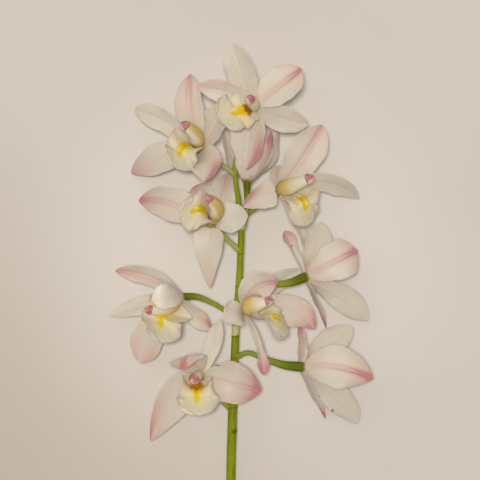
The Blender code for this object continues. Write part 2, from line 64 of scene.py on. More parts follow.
# Disc and boss from behind to in front: the height along the bloom's way, and the radius
DISC_STEPS = (
    (-DISC_HALF, 0.66 * DISC_RADIUS),
    (-0.7 * DISC_HALF, 0.82 * DISC_RADIUS),
    (-0.1 * DISC_HALF, DISC_RADIUS),
    (0.5 * DISC_HALF, 0.95 * DISC_RADIUS),
    (DISC_HALF, 0.8 * DISC_RADIUS),
    (0.6 * BOSS_HEIGHT, 1.02 * BOSS_RADIUS),
    (0.9 * BOSS_HEIGHT, 0.95 * BOSS_RADIUS),
    (BOSS_HEIGHT, 0.7 * BOSS_RADIUS),
)

# How green the two are, their olive partly their own colour and partly painted shade, and how
# much thicker a blade or a lip is where it grows out of them
DISC_GREEN = 2
BOSS_GREEN = 1.72
ROOT_SWELL = 0.5 * MM

# Sepals and petals: their sheet, the groove of their midrib, the keel behind it, and their
# rows and columns of points with how much the rows crowd towards the tip
BLADE_THICK = 0.8 * MM
BLADE_THINNING = 0.35
BLADE_EDGE = 0.34 * MM
BLADE_TIP = 0.15 * MM
BLADE_POINT = 0.8
BLADE_GROOVE = 0.24 * MM
BLADE_GROOVE_HALF_MM = 0.9
BLADE_KEEL = 0.3 * MM
BLADE_KEEL_HALF_MM = 0.8
BLADE_ROWS = 58
BLADE_COLUMNS = 34
BLADE_CROWDING = 1.3

# Their waves, broad and fine: height, number along, the shift between left and right, the
# share of the blade's own phase, and the power with which they grow outward
BLADE_WAVES = ((0.9 * MM, 1.4, 1.9, 1, 3), (0.3 * MM, 4.3, 1.7, 2.3, 5))
BLADE_SWELL = 0.25 * MM

# How uneven an outline is, and its waves: the turn along it, the share of the piece's own
# phase, the shift between its sides, and the strength
BLADE_UNEVEN = 0.035
BLADE_OUTLINE = ((9, 1, 2.1, 1), (19, 1.7, 1.3, 0.6))
LIP_UNEVEN = 0.03
LIP_OUTLINE = ((23, 1, 1.9, 1), (41, 2.3, 4.37, 0.7))

# Lip: its sheet, how far below the column it starts, and how even its cross-sections lie
LIP_THICK = 0.75 * MM
LIP_THINNING = 0.3
LIP_EDGE = 0.34 * MM
LIP_TIP = 0.2 * MM
LIP_ROWS = 84
LIP_COLUMNS = 56
LIP_CROWDING = 1.25
LIP_ROOT_DROP = 1.9 * MM
LIP_EVEN = 0.5

# Its outline: the claw's share of the side lobes' width, where the midlobe takes over from
# them, the notch between them, and where the rounding of the tip starts
LIP_CLAW = 0.22
LIP_MIDLOBE_FROM = (0.48, 0.68)
LIP_NOTCH_AT = 0.58
LIP_NOTCH_LONG = 0.1
LIP_END_FROM = 0.8

# How far its sides turn up along its line, in degrees, and down again on the midlobe, and how
# far out the turn ends
LIP_TURNS = ((0, 60), (0.2, 80), (0.45, 80), (0.74, -22), (1, -22))
LIP_FOLD = 0.7

# Its two ridges, and the waves and the frill of its midlobe
LIP_RIDGE = 1.25 * MM
LIP_RIDGE_AT = 0.17
LIP_RIDGE_WIDE = 0.1
LIP_RIDGE_SPAN = (0.2, 0.72)
LIP_WAVE = 0.9 * MM
LIP_WAVE_ACROSS = 9
LIP_WAVE_ALONG = 14
LIP_FRILL = 0.8 * MM
LIP_FRILL_ACROSS = 11
LIP_FRILL_ALONG = 31

# Column: half its width and its depth where its form says 1, how far over the bloom's middle
# it starts and how deep in the boss, and how its section changes along it
COLUMN_SIDES = 40
COLUMN_RINGS = 34
COLUMN_WIDE = 5.4 * MM
COLUMN_DEEP = 6.2 * MM
COLUMN_RISE = 1.2 * MM
COLUMN_SUNK = 0.3 * MM
COLUMN_NECK = 0.3
COLUMN_SHOULDER = 0.14
COLUMN_WING = 0.06
COLUMN_FRONT = 0.75
COLUMN_HOLLOW = 0.12

# The rings that close its end: how far past the end they lie, and their share of its size
COLUMN_CLOSE = ((0.25 * MM, 0.93), (0.3 * MM, 0.7))

# Anther cap: half its width and depth where the form says 1, what it covers of the column,
# and how deep its split and the dimple in its end are
CAP_SIDES = 36
CAP_RINGS = 18
CAP_LENGTH = 4.4 * MM
CAP_WIDE = 5.6 * MM
CAP_DEEP = 6.4 * MM
CAP_OVERLAP = 0.7 * MM
CAP_SPLIT = 0.2
CAP_DIMPLE = 0.12

# The stalk with its ribs, as number, depth as a share of the radius, and turn
CUT_SLANT = 3.0 * MM
STALK_SIDES = 48
STALK_RINGS = 700
STALK_RIBS = ((9, 0.012, 0), (14, 0.008, 1))

# The pedicels, which end in ovaries, and the bracts under two of them. Letters name blooms,
# and a bract starts and points where its pedicel has the rings BRACT_AT and BRACT_TO
PEDICEL_SIDES = 30
PEDICEL_RINGS = 60
PEDICEL_RADIUS = 1.6 * MM
PEDICEL_TWIST = 0.9
PALE_PEDICELS = "be"
OVARY_RADIUS = 2.7 * MM
OVARY_RADII = {"c": 2.4 * MM, "f": 3.2 * MM, "g": 2.5 * MM, "j": 3.3 * MM}
OVARY_SHARE = 0.5
OVARY_SWELL = 0.8
OVARY_RIBS = 0.1
BRACTS = "cd"
BRACT_AT = 2
BRACT_TO = 12
BRACT_LENGTH = 7.0 * MM
BRACT_HALF = 1.9 * MM
BRACT_THICK = 0.45 * MM
BRACT_GRID = (17, 13)

# On the stalk: a pale sheath and the dark rings of its nodes as plan y, and a healed scar
SHEATH = (325.5, 335.5)
NODE_RINGS = (336.5, 408.5, 358, 286, 254)
SCAR_AT = (234.2, 432)
SCAR_RADIUS = 1.4 * MM


@dataclass
class Blade:
    """One sepal or petal. A place is plan x, plan y and height in mm.

    mid, tip: places of its midrib's middle and tip
    half_mm: half its greatest width
    tint: how rose its tip, its midrib stripes, its left half and its right half are, looking
    from its root to its tip, and how green its ground is, or, where below 0, how much
    painted light makes it paler
    face: the way its inner face looks, where that isn't the bloom's own way
    cup: how much its edges rise
    peak: how far along it is broadest
    phase: where its waves start
    root_mm: half the width of its root
    swell: how soon it widens from there
    taper: how late it narrows to its tip
    """

    mid: tuple
    tip: tuple
    half_mm: float
    tint: tuple
    face: tuple = None
    cup: float = 0.16
    peak: float = 0.5
    phase: float = 0
    root_mm: float = 2.6
    swell: float = 2.5
    taper: float = 2.3


class Bloom:
    """One bloom. A place is plan x, plan y and height in mm.

    base: the top of its ovary
    faces: the way it looks
    column: the middle and end of its column's line
    lip: the floor, bend and tip of its lip's line
    pedicel: the route of its pedicel
    lip_form: half the widths of side lobes and midlobe in mm, how far the lobes turn up and
        the midlobe down, how far along the lobes are full, and how deep the notch is
    column_form: its girth at foot, middle and end, its cap's size, how far along its tan
        reaches, and from where round its back
    lip_marks: how far along the throat's colour ends, how dark it is, its darkest brown partly
    painted shade, and where the callus has its middle, with half its length
    blades: the dorsal sepal, the other sepals and the petals, named by their place
    """

    # A bloom that is given neither of these has a small column and a pale throat
    column_form = (0.5, 0.5, 0.42, 0.42, 0.5, 0)
    lip_marks = (0.2, 0.25, 0.5, 0.17)

    def __init__(self, **given):
        for name, value in given.items():
            setattr(self, name, value)
        self.blades = [value for value in given.values() if isinstance(value, Blade)]


BLOOMS = {
    "a": Bloom(
        base=(254, 107, 44),
        faces=(-0.45, -0.1, 0.88),
        column=((252.5, 105, 53), (249.5, 101.5, 60)),
        lip=((247, 111, 49), (237, 114, 53), (219, 121, 60)),
        pedicel=((235, 174, 27), (236, 160, 29), (243, 138, 32), (252, 120, 36)),
        lip_form=(13, 13.5, 0.5, -1, 0.42, 0.02),
        column_form=(0.8, 0.75, 0.62, 0.62, 0.3, 0.3),
        lip_marks=(0.44, 1, 0.5, 0.17),
        dorsal=Blade((242, 76, 46), (233, 44, 43), 10.3, (0, 0, 0, 0, 0.5), peak=0.55),
        petal_right=Blade((279, 87, 48), (301, 70, 50), 12, (0.35, 1, 0, 0, 0.1), peak=0.62),
        petal_left=Blade((226, 93, 51), (197, 88, 49), 7.5, (0.1, 0.3, 0, 0.35, 0.1), phase=2),
        sepal_right=Blade((283, 119, 39), (308, 125, 36), 8.6, (0.35, 0, 0, 0, 0.35), phase=1),
        sepal_left=Blade((249, 138, 45), (246, 170, 42), 12.4, (0.3, 0.1, 0.95, 0, 0.1), phase=3),
    ),
    "b": Bloom(
        base=(200, 148, 28),
        faces=(-0.7, 0.1, 0.7),
        column=((194, 136, 39), (185, 127, 46)),
        lip=((188, 146, 36), (181, 152, 43), (177, 169, 38)),
        pedicel=((235, 174, 27), (228, 169, 27), (219, 163, 27), (209, 156, 26)),
        lip_form=(14.5, 14, 0.5, 0.6, 0.42, 0.18),
        column_form=(0.78, 1, 0.72, 0.66, 1.4, 0.2),
        dorsal=Blade(
            (190, 108, 33), (191, 74, 30), 9.8, (0.2, 0.75, 0.35, 0.05, 0.3), (-0.3, 0, 1), phase=1,
            taper=1.9,
        ),
        petal_left=Blade((160, 119, 24), (134, 110, 16), 7.4, (0.1, 0, 0, 0, 0.45), phase=2.5),
        sepal_left=Blade(
            (160, 158, 18), (130, 172, 0.31), 10.2, (0.75, 0.15, 0.25, 0.05, 0.15), phase=0.5, taper=1.9,
        ),
        sepal_right=Blade(
            (206, 164, 44), (204, 182, 52), 10.8, (0.3, 0.1, 1, 0, 0.1), (-0.2, 0.5, 0.8), taper=1.8,
        ),
        petal_right=Blade((215, 125, 36), (221, 103, 39), 10.8, (0, 0.1, 0.1, 0, 0.2), peak=0.6, phase=2),
    ),
    "c": Bloom(
        base=(247, 181, 30),
        faces=(0.1, 0.9, -0.42),
        column=((248, 168, 28.5), (249, 160, 24)),
        lip=((248, 174, 23.5), (249, 165, 19), (249, 162, 14)),
        pedicel=((241, 231, 24.3), (245, 220, 25), (247, 207, 26), (247, 194, 28)),
        lip_form=(6.5, 6, 1, 1, 0.42, 0.15),
        dorsal=Blade((247, 158, 36), (244, 132, 36), 8, (0.1, 0.3, 0, 0, 0.1)),
        petal_right=Blade((268, 156, 22), (277, 126, 18), 9, (0.1, 0.1, 0, 0, 0.2), (-0.5, 0.5, -0.8)),
        petal_narrow=Blade((266, 158, 31), (271, 131, 32), 5, (0.9, 1, 0.2, 0.2, 0.1), (-0.8, -0.6, -0.5)),
        petal_left=Blade((233, 158, 20), (225, 130, 14), 8.5, (0.1, 0.2, 0, 0.2, 0.3), (0.5, 0.5, -0.8)),
        sepal_low=Blade((252, 165, 8.5), (262, 151, 1.5), 6.5, (0.3, 0.3, 0.1, 0.1, 0.2)),
    ),
    "d": Bloom(
        base=(279, 190, 28),
        faces=(0.66, 0, 0.75),
        column=((293, 187, 38), (309, 180, 46)),
        lip=((297, 197, 37), (304, 205, 46), (306, 226, 43)),
        pedicel=((240.5, 225, 24.5), (246, 215, 23), (257, 207, 22), (270, 198, 23)),
        lip_form=(15, 12.5, 0.3, 0.75, 0.52, 0.2),
        column_form=(1, 1, 0.7, 0.66, 0.55, -0.4),
        lip_marks=(0.2, 0.25, 0.53, 0.1),
        dorsal=Blade(
            (303, 157, 28), (322, 125, 28), 12, (0.2, 0.8, 0, 0.15, 0.15), (0.1, -0.2, 1), peak=0.6,
        ),
        petal_right=Blade((326, 182, 22), (360, 199, 0.27), 7, (0.05, 0, 0, 0, 0.2), (0.3, -0.5, 0.6)),
        sepal_left=Blade(
            (262, 197, 32), (243, 207, 36), 8.5, (0.5, 0.1, 0, 0.8, 0.2), (0.2, 0, 1), peak=0.22,
        ),
        sepal_low=Blade((298, 222, 14), (309, 255, 10), 5.5, (0.1, 0.1, 0, 0, 0.3), (0.6, 0, 0.5)),
        petal_back=Blade((277, 178, 24), (282, 166, 15), 5.8, (0, 0.2, 0.2, 0, 0.2), (0.4, 0, 0.8)),
    ),
    "e": Bloom(
        base=(212, 224, 30),
        faces=(-0.35, 0.5, 0.8),
        column=((215, 209, 40), (209, 200, 47)),
        lip=((205, 213, 39), (196, 211, 46), (180, 217, 42)),
        pedicel=((239, 250, 23.4), (231, 243, 25), (223, 235, 26), (216, 229, 27)),
        lip_form=(15, 14, 0.45, 0.5, 0.42, 0.16),
        column_form=(0.75, 0.97, 0.66, 0.6, 1.4, 0.1),
        sepal_left=Blade(
            (172, 204, 22), (138, 200, 3), 10.6, (0.6, 0.7, 0.2, 0.15, 0.1), (-0.2, 0, 1), taper=1.9,
        ),
        # Its ground below 0 paints it a little paler: painted light
        sepal_low=Blade(
            (208.5, 250, 30), (210, 288, 20), 10.2, (0.35, 0.08, 0.08, 0, -0.2), (0, 0, 1), peak=0.22,
            root_mm=6, swell=1.6, taper=1.6,
        ),
        petal_right=Blade(
            (230, 218, 32.5), (248, 216, 30), 9.8, (0, 0.1, 0, 0, 0.1), (0.1, 0, 1), root_mm=4.4,
            swell=1.8,
        ),
        dorsal=Blade((222, 197, 25), (229, 173, 15), 8.8, (0.4, 0.5, 0, 0, 0.1), (0.35, 0.2, 1)),
        petal_left=Blade((203, 199, 23), (194, 186, 12), 9, (1, 0.2, 0, 0, 0.1), (-0.3, 0.3, 1)),
    ),
    "f": Bloom(
        base=(306, 277, 27),
        faces=(0.8, 0.2, -0.56),
        column=((318, 274, 24.5), (325, 272, 19.5)),
        lip=((311, 277, 20), (318, 278, 14), (309, 286, 8)),
        pedicel=((239, 281, 22), (251, 281, 27), (269, 284, 30.5), (289, 283, 30.5)),
        lip_form=(8.5, 8, 1, 1, 0.42, 0.15),
        dorsal=Blade((334, 262, 33), (357, 250, 30), 13, (0.7, 0.95, 0, 0, 0.15), (0.1, 0, -1), peak=0.7),
        petal_low=Blade((342, 298, 18), (369, 321, 8), 8.5, (0.05, 0, 0, 0, 0.1), (0.2, 0, -1), peak=0.6),
        petal_up=Blade((317, 247, 18), (321, 222, 10), 9, (0, 0, 0, 0, 0.15), (0.2, 0, -1), peak=0.6),
        sepal_up=Blade(
            (296, 253, 24), (285, 231, 26), 4.4, (1, 0.2, 0.1, 0.1, 0.2), (0.5, 0.2, -0.8), peak=0.8,
            root_mm=1.5, swell=0.5,
        ),
        sepal_low=Blade((316, 301, 14), (327, 329, 1.5), 5, (0.9, 0.7, 0.2, 0, 0.2), (0.8, 0.3, -0.3)),
    ),
    "g": Bloom(
        base=(181, 297, 26),
        faces=(-0.8, -0.25, 0.55),
        column=((169, 309, 35), (150, 310, 41)),
        lip=((169, 311, 32), (161, 320, 41), (164, 343, 36)),
        pedicel=((235, 318, 20.3), (224, 310, 22), (212, 303, 24), (197, 297, 25)),
        lip_form=(17, 14.5, 0.4, 0.9, 0.42, 0.2),
        column_form=(0.62, 0.7, 0.6, 0.56, 0.62, -0.3),
        lip_marks=(0.2, 0.25, 0.58, 0.09),
        petal_up=Blade((150, 277, 26), (115, 271, 20), 6.5, (0.3, 0.7, 0.1, 0, 0.25), (-0.2, -0.4, 1)),
        petal_left=Blade((147, 305, 16), (108, 316, 8), 6.5, (0, 0, 0, 0, 0.5), (-0.2, 0.4, 1)),
        sepal_low=Blade(
            (152, 333, 16), (140, 364, 8), 10.5, (0.25, 0.05, 0.4, 0.25, 0.2), (-0.3, 0, 1), peak=0.65,
        ),
        sepal_right=Blade((197, 318, 26), (211, 330, 24), 5.5, (0.5, 0.2, 0.7, 0, 0.25), (-0.4, 0, 1)),
        # Its ground below 0 paints it much paler: painted light on the sloped hood
        petal_hood=Blade(
            (168, 296, 48), (152, 300, 49), 8.2, (0, 0.1, 0, 0, -1), (-0.2, 0, -1), cup=0.08, peak=0.6,
        ),
    ),
    "h": Bloom(
        base=(243, 310, 36),
        faces=(0.9, 0.05, 0.43),
        column=((256, 306, 43), (268, 302, 48)),
        lip=((258, 318, 41), (276, 318, 48), (288, 334, 42)),
        pedicel=((236, 325, 19.8), (233, 321, 24), (234, 315, 30)),
        lip_form=(14.5, 14, 0.7, 0.9, 0.5, 0.15),
        column_form=(1.2, 1.12, 0.66, 0.6, 0.62, -0.6),
        lip_marks=(0.2, 0.25, 0.64, 0.06),
        petal_up=Blade((256, 287, 46), (278, 282, 50), 10, (0.4, 0.8, 0, 0.2, 0.1), (0.1, -0.2, 1)),
        dorsal=Blade((273, 285, 18), (303, 270, 10), 6.3, (0, 0, 0, 0, 0.9), (0.2, -0.2, 1)),
        sepal_right=Blade(
            (288, 310, 28), (315, 329, 26), 9.8, (0.8, 0.35, 0.35, 0.3, 0.15), (0.1, 0, 1), peak=0.56,
            taper=1.7,
        ),
        petal_left=Blade(
            (234, 314, 46), (225, 321, 50), 8.8, (0.05, 0.05, 0, 0, 0.05), (0.2, 0.2, 1), taper=1.8,
        ),
        sepal_low=Blade(
            (258, 341, 32), (264, 375, 30), 4, (1, 0.3, 0.2, 0.2, 0.2), (0.3, 0, 1), peak=0.8, root_mm=1.6,
            swell=0.3,
        ),
    ),
    "i": Bloom(
        base=(200, 376, 33),
        faces=(-0.2, -0.45, 0.87),
        column=((198.5, 375, 43), (194.5, 378.5, 50)),
        lip=((197, 386, 40), (197, 395, 48), (200, 415, 44)),
        pedicel=((232, 411, 15.8), (224, 404, 16.5), (214, 391, 18.5), (205, 377, 24)),
        lip_form=(14, 14, 0.8, 0.9, 0.42, 0.2),
        column_form=(0.55, 0.58, 0.62, 0.66, 0.3, 0.3),
        lip_marks=(0.54, 0.62, 0.5, 0.17),
        petal_up=Blade((212, 346, 32), (220, 320, 28), 5.4, (0.05, 0, 0, 0, 0.5), peak=0.55),
        # Its rose halves and green ground darken it: partly its own rose, partly painted shade
        petal_right=Blade(
            (232, 383, 36), (261, 391, 30), 13.6, (0.85, 0.6, 0.45, 0.4, 0.6), (0, 0, 1), taper=1.7,
        ),
        sepal_left=Blade(
            (174, 402, 26), (150, 442, 14), 12.4, (0.55, 0.1, 0, 0.5, 0.4), (-0.2, -0.1, 1), peak=0.36,
            taper=1.5,
        ),
        dorsal=Blade((187, 356, 48), (184, 369, 57), 12.5, (0.6, 1, 0.15, 0.15, 0.1), (0.1, -0.8, 0.3)),
        sepal_back=Blade((220, 384, 29), (239, 392, 23), 5.5, (0.5, 0.3, 0.2, 0, 0.2), (0, 0, 1)),
    ),
    "j": Bloom(
        base=(302, 367, 27),
        faces=(0.75, 0, -0.66),
        column=((314, 367, 23.5), (321, 367, 18)),
        lip=((306, 370, 19.5), (313, 372, 13), (304, 376, 8)),
        pedicel=((235, 358, 18.3), (248, 353, 21), (262, 358, 23), (283, 365, 25)),
        lip_form=(8.5, 8, 1, 1, 0.42, 0.15),
        dorsal=Blade(
            (338, 367, 33), (373, 379, 30), 13.8, (0.7, 1, 0, 0.05, 0.35), (0.1, 0, -1), taper=1.9,
        ),
        petal_up=Blade((331, 343, 18), (354, 328, 12), 9, (0.05, 0.05, 0, 0, 0.3), (0.2, 0, -1)),
        petal_low=Blade((337, 398, 16), (359, 425, 4), 9, (0.05, 0, 0, 0, 0.05), (0.2, 0, -1)),
        sepal_up=Blade((302, 345, 22), (299, 327, 20), 5, (0.3, 0.9, 0.3, 0, 0.15), (0.7, 0, -0.5)),
        sepal_low=Blade((314, 396, 12), (326, 420, 1.5), 5, (1, 0.7, 0.25, 0, 0.15), (0.7, 0.3, -0.4)),
    ),
}

# The stalk's line from the cut end up: plan place, height of its axis in mm, radius in mm
STALK_LINE = (
    (229, 688, 3.11, 2.95),
    (229.5, 600, 7, 2.95),
    (230, 520, 10.9, 2.95),
    (231, 460, 13.7, 2.95),
    (232.5, 410, 16, 2.9),
    (234.5, 358, 18.5, 2.55),
    (236, 322, 20.1, 2.35),
    (239, 282, 22, 2.1),
    (240.5, 250, 23.5, 2),
    (241, 231, 24.4, 1.95),
    (239, 205, 25.6, 1.7),
    (236, 185, 26.5, 1.5),
    (235, 172, 27.1, 1.4),
)


# Curves
def place(x, y, height_mm):
    """The point over a place on the plan, in metres from the stem's origin."""
    return np.array(
        ((x - PLAN_CENTRE[0]) * PLAN_STEP, (PLAN_CENTRE[1] - y) * PLAN_STEP, height_mm * MM)
    )


def dot(a, b):
    return np.sum(a * b, axis=-1, keepdims=True)


def unit(vector):
    return vector / np.maximum(np.linalg.norm(vector, axis=-1, keepdims=True), 1e-12)


def square_to(vector, direction):
    """The part of a vector that is at right angles to a direction, as a unit vector."""
    return unit(vector - direction * dot(vector, direction))


def smooth(low, high, value):
    """0 below low, 1 above high and an even slope between them, or the reverse if low > high."""
    share = np.clip((np.asarray(value, dtype=float) - low) / (high - low), 0, 1)
    return share * share * (3 - 2 * share)


def bump(value, centre, half):
    """1 at the centre, falling to a third at half and soon to 0."""
    return np.exp(-(((value - centre) / half) ** 2))


def rows_to_tip(count, crowding):
    """Places along a piece, closer together towards its tip."""
    return 1 - (1 - np.linspace(0, 1, count + 1)) ** crowding


def round_angles(sides):
    """The angles of points spread evenly round a ring."""
    return FULL_TURN * np.arange(sides) / sides


def bezier(start, middle, end, t):
    """Points on the curve from start to end that passes middle half way."""
    t = np.asarray(t, dtype=float)[..., None]
    pull = middle * 2 - (start + end) * 0.5
    first = start + (pull - start) * t
    second = pull + (end - pull) * t
    return first + (second - first) * t


def spline(points, t):
    """Points on a smooth curve through all points, for t from 0 to 1."""
    points = np.asarray(points, dtype=float)
    spans = len(points) - 1
    t = np.asarray(t, dtype=float)
    i = np.minimum((t * spans).astype(int), spans - 1)
    s = (t * spans - i)[..., None]
    padded = np.vstack((points[0] * 2 - points[1], points, points[-1] * 2 - points[-2]))
    before, start, end, after = padded[i], padded[i + 1], padded[i + 2], padded[i + 3]
    return 0.5 * (
        2 * start
        + (end - before) * s
        + (2 * before - 5 * start + 4 * end - after) * s**2
        + (3 * start - before - 3 * end + after) * s**3
    )


def heading(curve, t):
    """The direction of a curve at t, as a unit vector."""
    t = np.asarray(t, dtype=float)
    return unit(curve(np.minimum(t + 0.01, 1)) - curve(np.maximum(t - 0.01, 0)))


def profile(pairs, t):
    """The value at t of a smooth line through pairs of place and value."""
    t = np.asarray(t, dtype=float)
    value = np.full(t.shape, float(pairs[-1][1]))
    for (start, low), (end, high) in reversed(list(zip(pairs, pairs[1:]))):
        inside = t <= end
        value = np.where(inside, low + (high - low) * smooth(start, end, t), value)
    return value


def outline_waves(waves, own, t, s):
    """The unevenness of an outline, different on its two sides and from piece to piece."""
    return sum(
        strength * np.sin(turn * t + share * own + shift * (s > 0))
        for turn, share, shift, strength in waves
    )


# Objects and skins
def in_scene(name, data):
    """A new object of the scene."""
    made = bpy.data.objects.new(name, data)
    bpy.context.scene.collection.objects.link(made)
    return made


class Shape:
    """The points, faces and point values of one piece, gathered from its closed skins."""

    def __init__(self, rings=None, values=None):
        self.points = []
        self.faces = []
        self.values = {}
        self.count = 0
        if rings is not None:
            self.rings(rings, values)

    def rings(self, rings, values):
        """Adds a closed body through rings of points, with a fan at each end."""
        rows, sides = rings.shape[:2]
        around = np.arange(sides)
        ahead = np.roll(around, -1)
        starts = np.arange(rows - 1)[:, None] * sides
        a, b = (starts + around).ravel(), (starts + ahead).ravel()
        quads = np.stack((a, b, b + sides, a + sides), axis=1)
        first, last = rows * sides, rows * sides + 1
        final = (rows - 1) * sides
        start_fan = np.stack((np.full(sides, first), ahead, around), axis=1)
        end_fan = np.stack((np.full(sides, last), final + around, final + ahead), axis=1)
        points = np.vstack((rings.reshape(-1, 3), rings[0].mean(axis=0), rings[-1].mean(axis=0)))
        faces = [quads, start_fan, end_fan]
        p, q, r, s = (points[quads[:, k]] for k in range(4))
        volume = np.sum(p * np.cross(q, r)) + np.sum(p * np.cross(r, s))
        if volume < 0:
            faces = [part[:, ::-1] for part in faces]
        self.faces += [row for part in faces for row in (part + self.count).tolist()]
        self.points.append(points)
        for name, value in values.items():
            full = np.broadcast_to(value, (rows, sides)).astype(float)
            ends = (full[0].mean(), full[-1].mean())
            self.values.setdefault(name, []).append(np.concatenate((full.ravel(), ends)))
        self.count += len(points)

    def object(self, name, surface):
        """The mesh object, on or over the floor, with its point values as attributes."""
        mesh = bpy.data.meshes.new(name)
        points = np.vstack(self.points)
        points[:, 2] = np.maximum(points[:, 2], 0)
        mesh.from_pydata(points.tolist(), [], self.faces)
        for key, parts in self.values.items():
            field = mesh.attributes.new(key, "FLOAT", "POINT")
            field.data.foreach_set("value", np.concatenate(parts))
        mesh.materials.append(surface)
        mesh.shade_smooth()
        mesh.update()
        return in_scene(name, mesh)


def sheet_rings(grid, up, thick, edge, groove, keel):
    """Rings round a sheet, from a grid of its middle points: front, edge, back, edge."""
    normal = unit(np.cross(np.gradient(grid, axis=1), np.gradient(grid, axis=0)))
    normal = normal * np.sign(np.sum(dot(normal, up)))
    share = np.abs(np.linspace(-1, 1, grid.shape[1]))[None, :, None]
    half = 0.5 * (edge + (thick[..., None] - edge) * (1 - share**2.5))
    front = grid + normal * (half - groove[..., None])
    back = grid - normal * (half + keel[..., None])
    out = unit(np.gradient(grid, axis=1))
    first = grid[:, :1] - out[:, :1] * (0.8 * half[:, :1])
    last = grid[:, -1:] + out[:, -1:] * (0.8 * half[:, -1:])
    return np.concatenate((front, last, back[:, ::-1], first), axis=1)


def sheet_values(grid, back_edge, **values):
    """Values on a sheet's grid put round its rings, and how much each point is on its back."""
    rows, columns = grid.shape[:2]
    line = np.concatenate((np.zeros(columns), (back_edge,), np.ones(columns), (back_edge,)))
    ringed = {"back": line[None, :]}
    for name, value in values.items():
        full = np.broadcast_to(value, (rows, columns))
        parts = (full, full[:, -1:], full[:, ::-1], full[:, :1])
        ringed[name] = np.concatenate(parts, axis=1)
    return ringed


def thickness(root, thinning, t):
    """A sheet's thickness: swollen where it grows out, and thinner towards its tip."""
    return root * (1 - thinning * t) + ROOT_SWELL * (1 - t) ** 5


# Sepals and petals
def bloom_frame(bloom):
    """A bloom's base, the way it looks, its dorsal direction and its side."""
    faces_to = unit(np.array(bloom.faces, dtype=float))
    dorsal = square_to(place(*bloom.column[0]) - place(*bloom.lip[0]), faces_to)
    return place(*bloom.base), faces_to, dorsal, np.cross(faces_to, dorsal)


def blade_line(blade, base, faces_to):
    """The rows of a blade: t, and its midrib's points, side directions and face directions."""
    middle, tip = place(*blade.mid), place(*blade.tip)
    root = base + square_to(middle - base, faces_to) * (ROOT_AT * DISC_RADIUS)
    own_face = unit(np.array(blade.face, dtype=float)) if blade.face else faces_to

    def curve(t):
        return bezier(root, middle, tip, t)

    start, half_way = heading(curve, 0), heading(curve, 0.5)
    root_side = np.cross(start, square_to(faces_to, start))
    blade_side = np.cross(half_way, square_to(own_face, half_way))
    t = rows_to_tip(BLADE_ROWS, BLADE_CROWDING)
    along = heading(curve, t)
    blend = np.minimum(2 * t, 1)[:, None]
    side = square_to(root_side * (1 - blend) + blade_side * blend, along)
    return t[:, None], curve(t)[:, None], side[:, None], np.cross(side, along)[:, None]


def blade_half_width(t, s, blade):
    """Half the width along a blade: narrow root, broadest at the peak, pointed tip."""
    root, half, peak = blade.root_mm * MM, blade.half_mm * MM, blade.peak
    rise = half - (half - root) * np.clip(1 - t / peak, 0, 1) ** blade.swell
    fall = np.clip((t - peak) / (1 - peak), 0, 1)
    taper = half * (1 - fall**blade.taper) ** BLADE_POINT
    even = np.where(t < peak, rise, np.maximum(taper, BLADE_TIP))
    own = 3.1 * blade.phase + 0.37 * blade.mid[0] + 0.23 * blade.mid[1]
    uneven = outline_waves(BLADE_OUTLINE, own, t, s) * smooth(0.15, 0.35, t) * s * s
    return even * (1 + BLADE_UNEVEN * uneven)


def blade_rise(t, s, half, blade):
    """How far a blade's surface rises from its midrib: a cup, a soft swell and waves."""
    rise = BLADE_SWELL * np.sin(5 * t + 2.2 * s + blade.phase) * (1 - np.abs(s))
    for height, number, shift, own, power in BLADE_WAVES:
        turn = FULL_TURN * number * t + own * blade.phase + shift * (s > 0)
        rise = rise + height * np.sin(turn) * np.abs(s) ** power
    grown = np.minimum(2 * t, 1) * half / (blade.half_mm * MM)
    return blade.cup * half * s * s + grown * rise


def blade_rose(t, s, blade):
    """The rose wash on a blade, and the strength of its midrib stripes."""
    tip_rose, line_rose, left_rose, right_rose, _ = blade.tint
    tip = tip_rose * smooth(0.5, 1, t) ** 1.4 * (0.6 + 0.4 * np.abs(s))
    halves = left_rose * smooth(-0.02, 0.75, -s) + right_rose * smooth(-0.02, 0.75, s)
    wash = np.clip(tip + halves * smooth(0.15, 0.75, t), 0, 1)
    return wash, line_rose * smooth(0.02, 0.2, t) * (0.45 + 0.55 * smooth(0.3, 0.95, t))


def add_blade(shape, blade, base, faces_to):
    """Adds one sepal or petal: waved edges, a grooved midrib with a keel behind, thin edges."""
    t, midrib, side, face = blade_line(blade, base, faces_to)
    s = np.linspace(-1, 1, BLADE_COLUMNS + 1)[None, :]
    s = np.sign(s) * np.abs(s) ** 1.15
    half = blade_half_width(t, s, blade)
    rise = blade_rise(t, s, half, blade)
    grid = midrib + side * (half * s)[..., None] + face * rise[..., None]
    fade = smooth(0, 0.12, t) * (1 - 0.7 * smooth(0.8, 1, t))
    across_mm = half * s / MM
    groove = BLADE_GROOVE * bump(across_mm, 0, BLADE_GROOVE_HALF_MM) * fade
    keel = BLADE_KEEL * bump(across_mm, 0, BLADE_KEEL_HALF_MM) * fade
    thick = thickness(BLADE_THICK, BLADE_THINNING, t)
    rings = sheet_rings(grid, face, thick, BLADE_EDGE, groove, keel)
    wash, stripe = blade_rose(t, s, blade)
    green = blade.tint[4]
    places = {"along": t, "across": s, "across_mm": across_mm}
    shape.rings(rings, sheet_values(grid, 0.5, wash=wash, stripe=stripe, green=green, **places))


def sepals_and_petals(letter, bloom, surface):
    """The five blades of a bloom on their disc."""
    base, faces_to, dorsal, side = bloom_frame(bloom)
    heights, radii = np.array(DISC_STEPS).T[..., None]
    angle = round_angles(DISC_SIDES)[:, None]
    outward = side * np.cos(angle) + dorsal * np.sin(angle)
    rings = base + faces_to * heights[..., None] + outward * radii[..., None]
    values = {"along": 0, "across": 0.5, "across_mm": 2, "wash": 0, "stripe": 0, "back": 0.5}
    green = np.where(heights > DISC_HALF, BOSS_GREEN, DISC_GREEN)
    shape = Shape(rings, {**values, "green": green})
    for blade in bloom.blades:
        add_blade(shape, blade, base, faces_to)
    return shape.object(f"bloom_{letter}_perianth", surface)


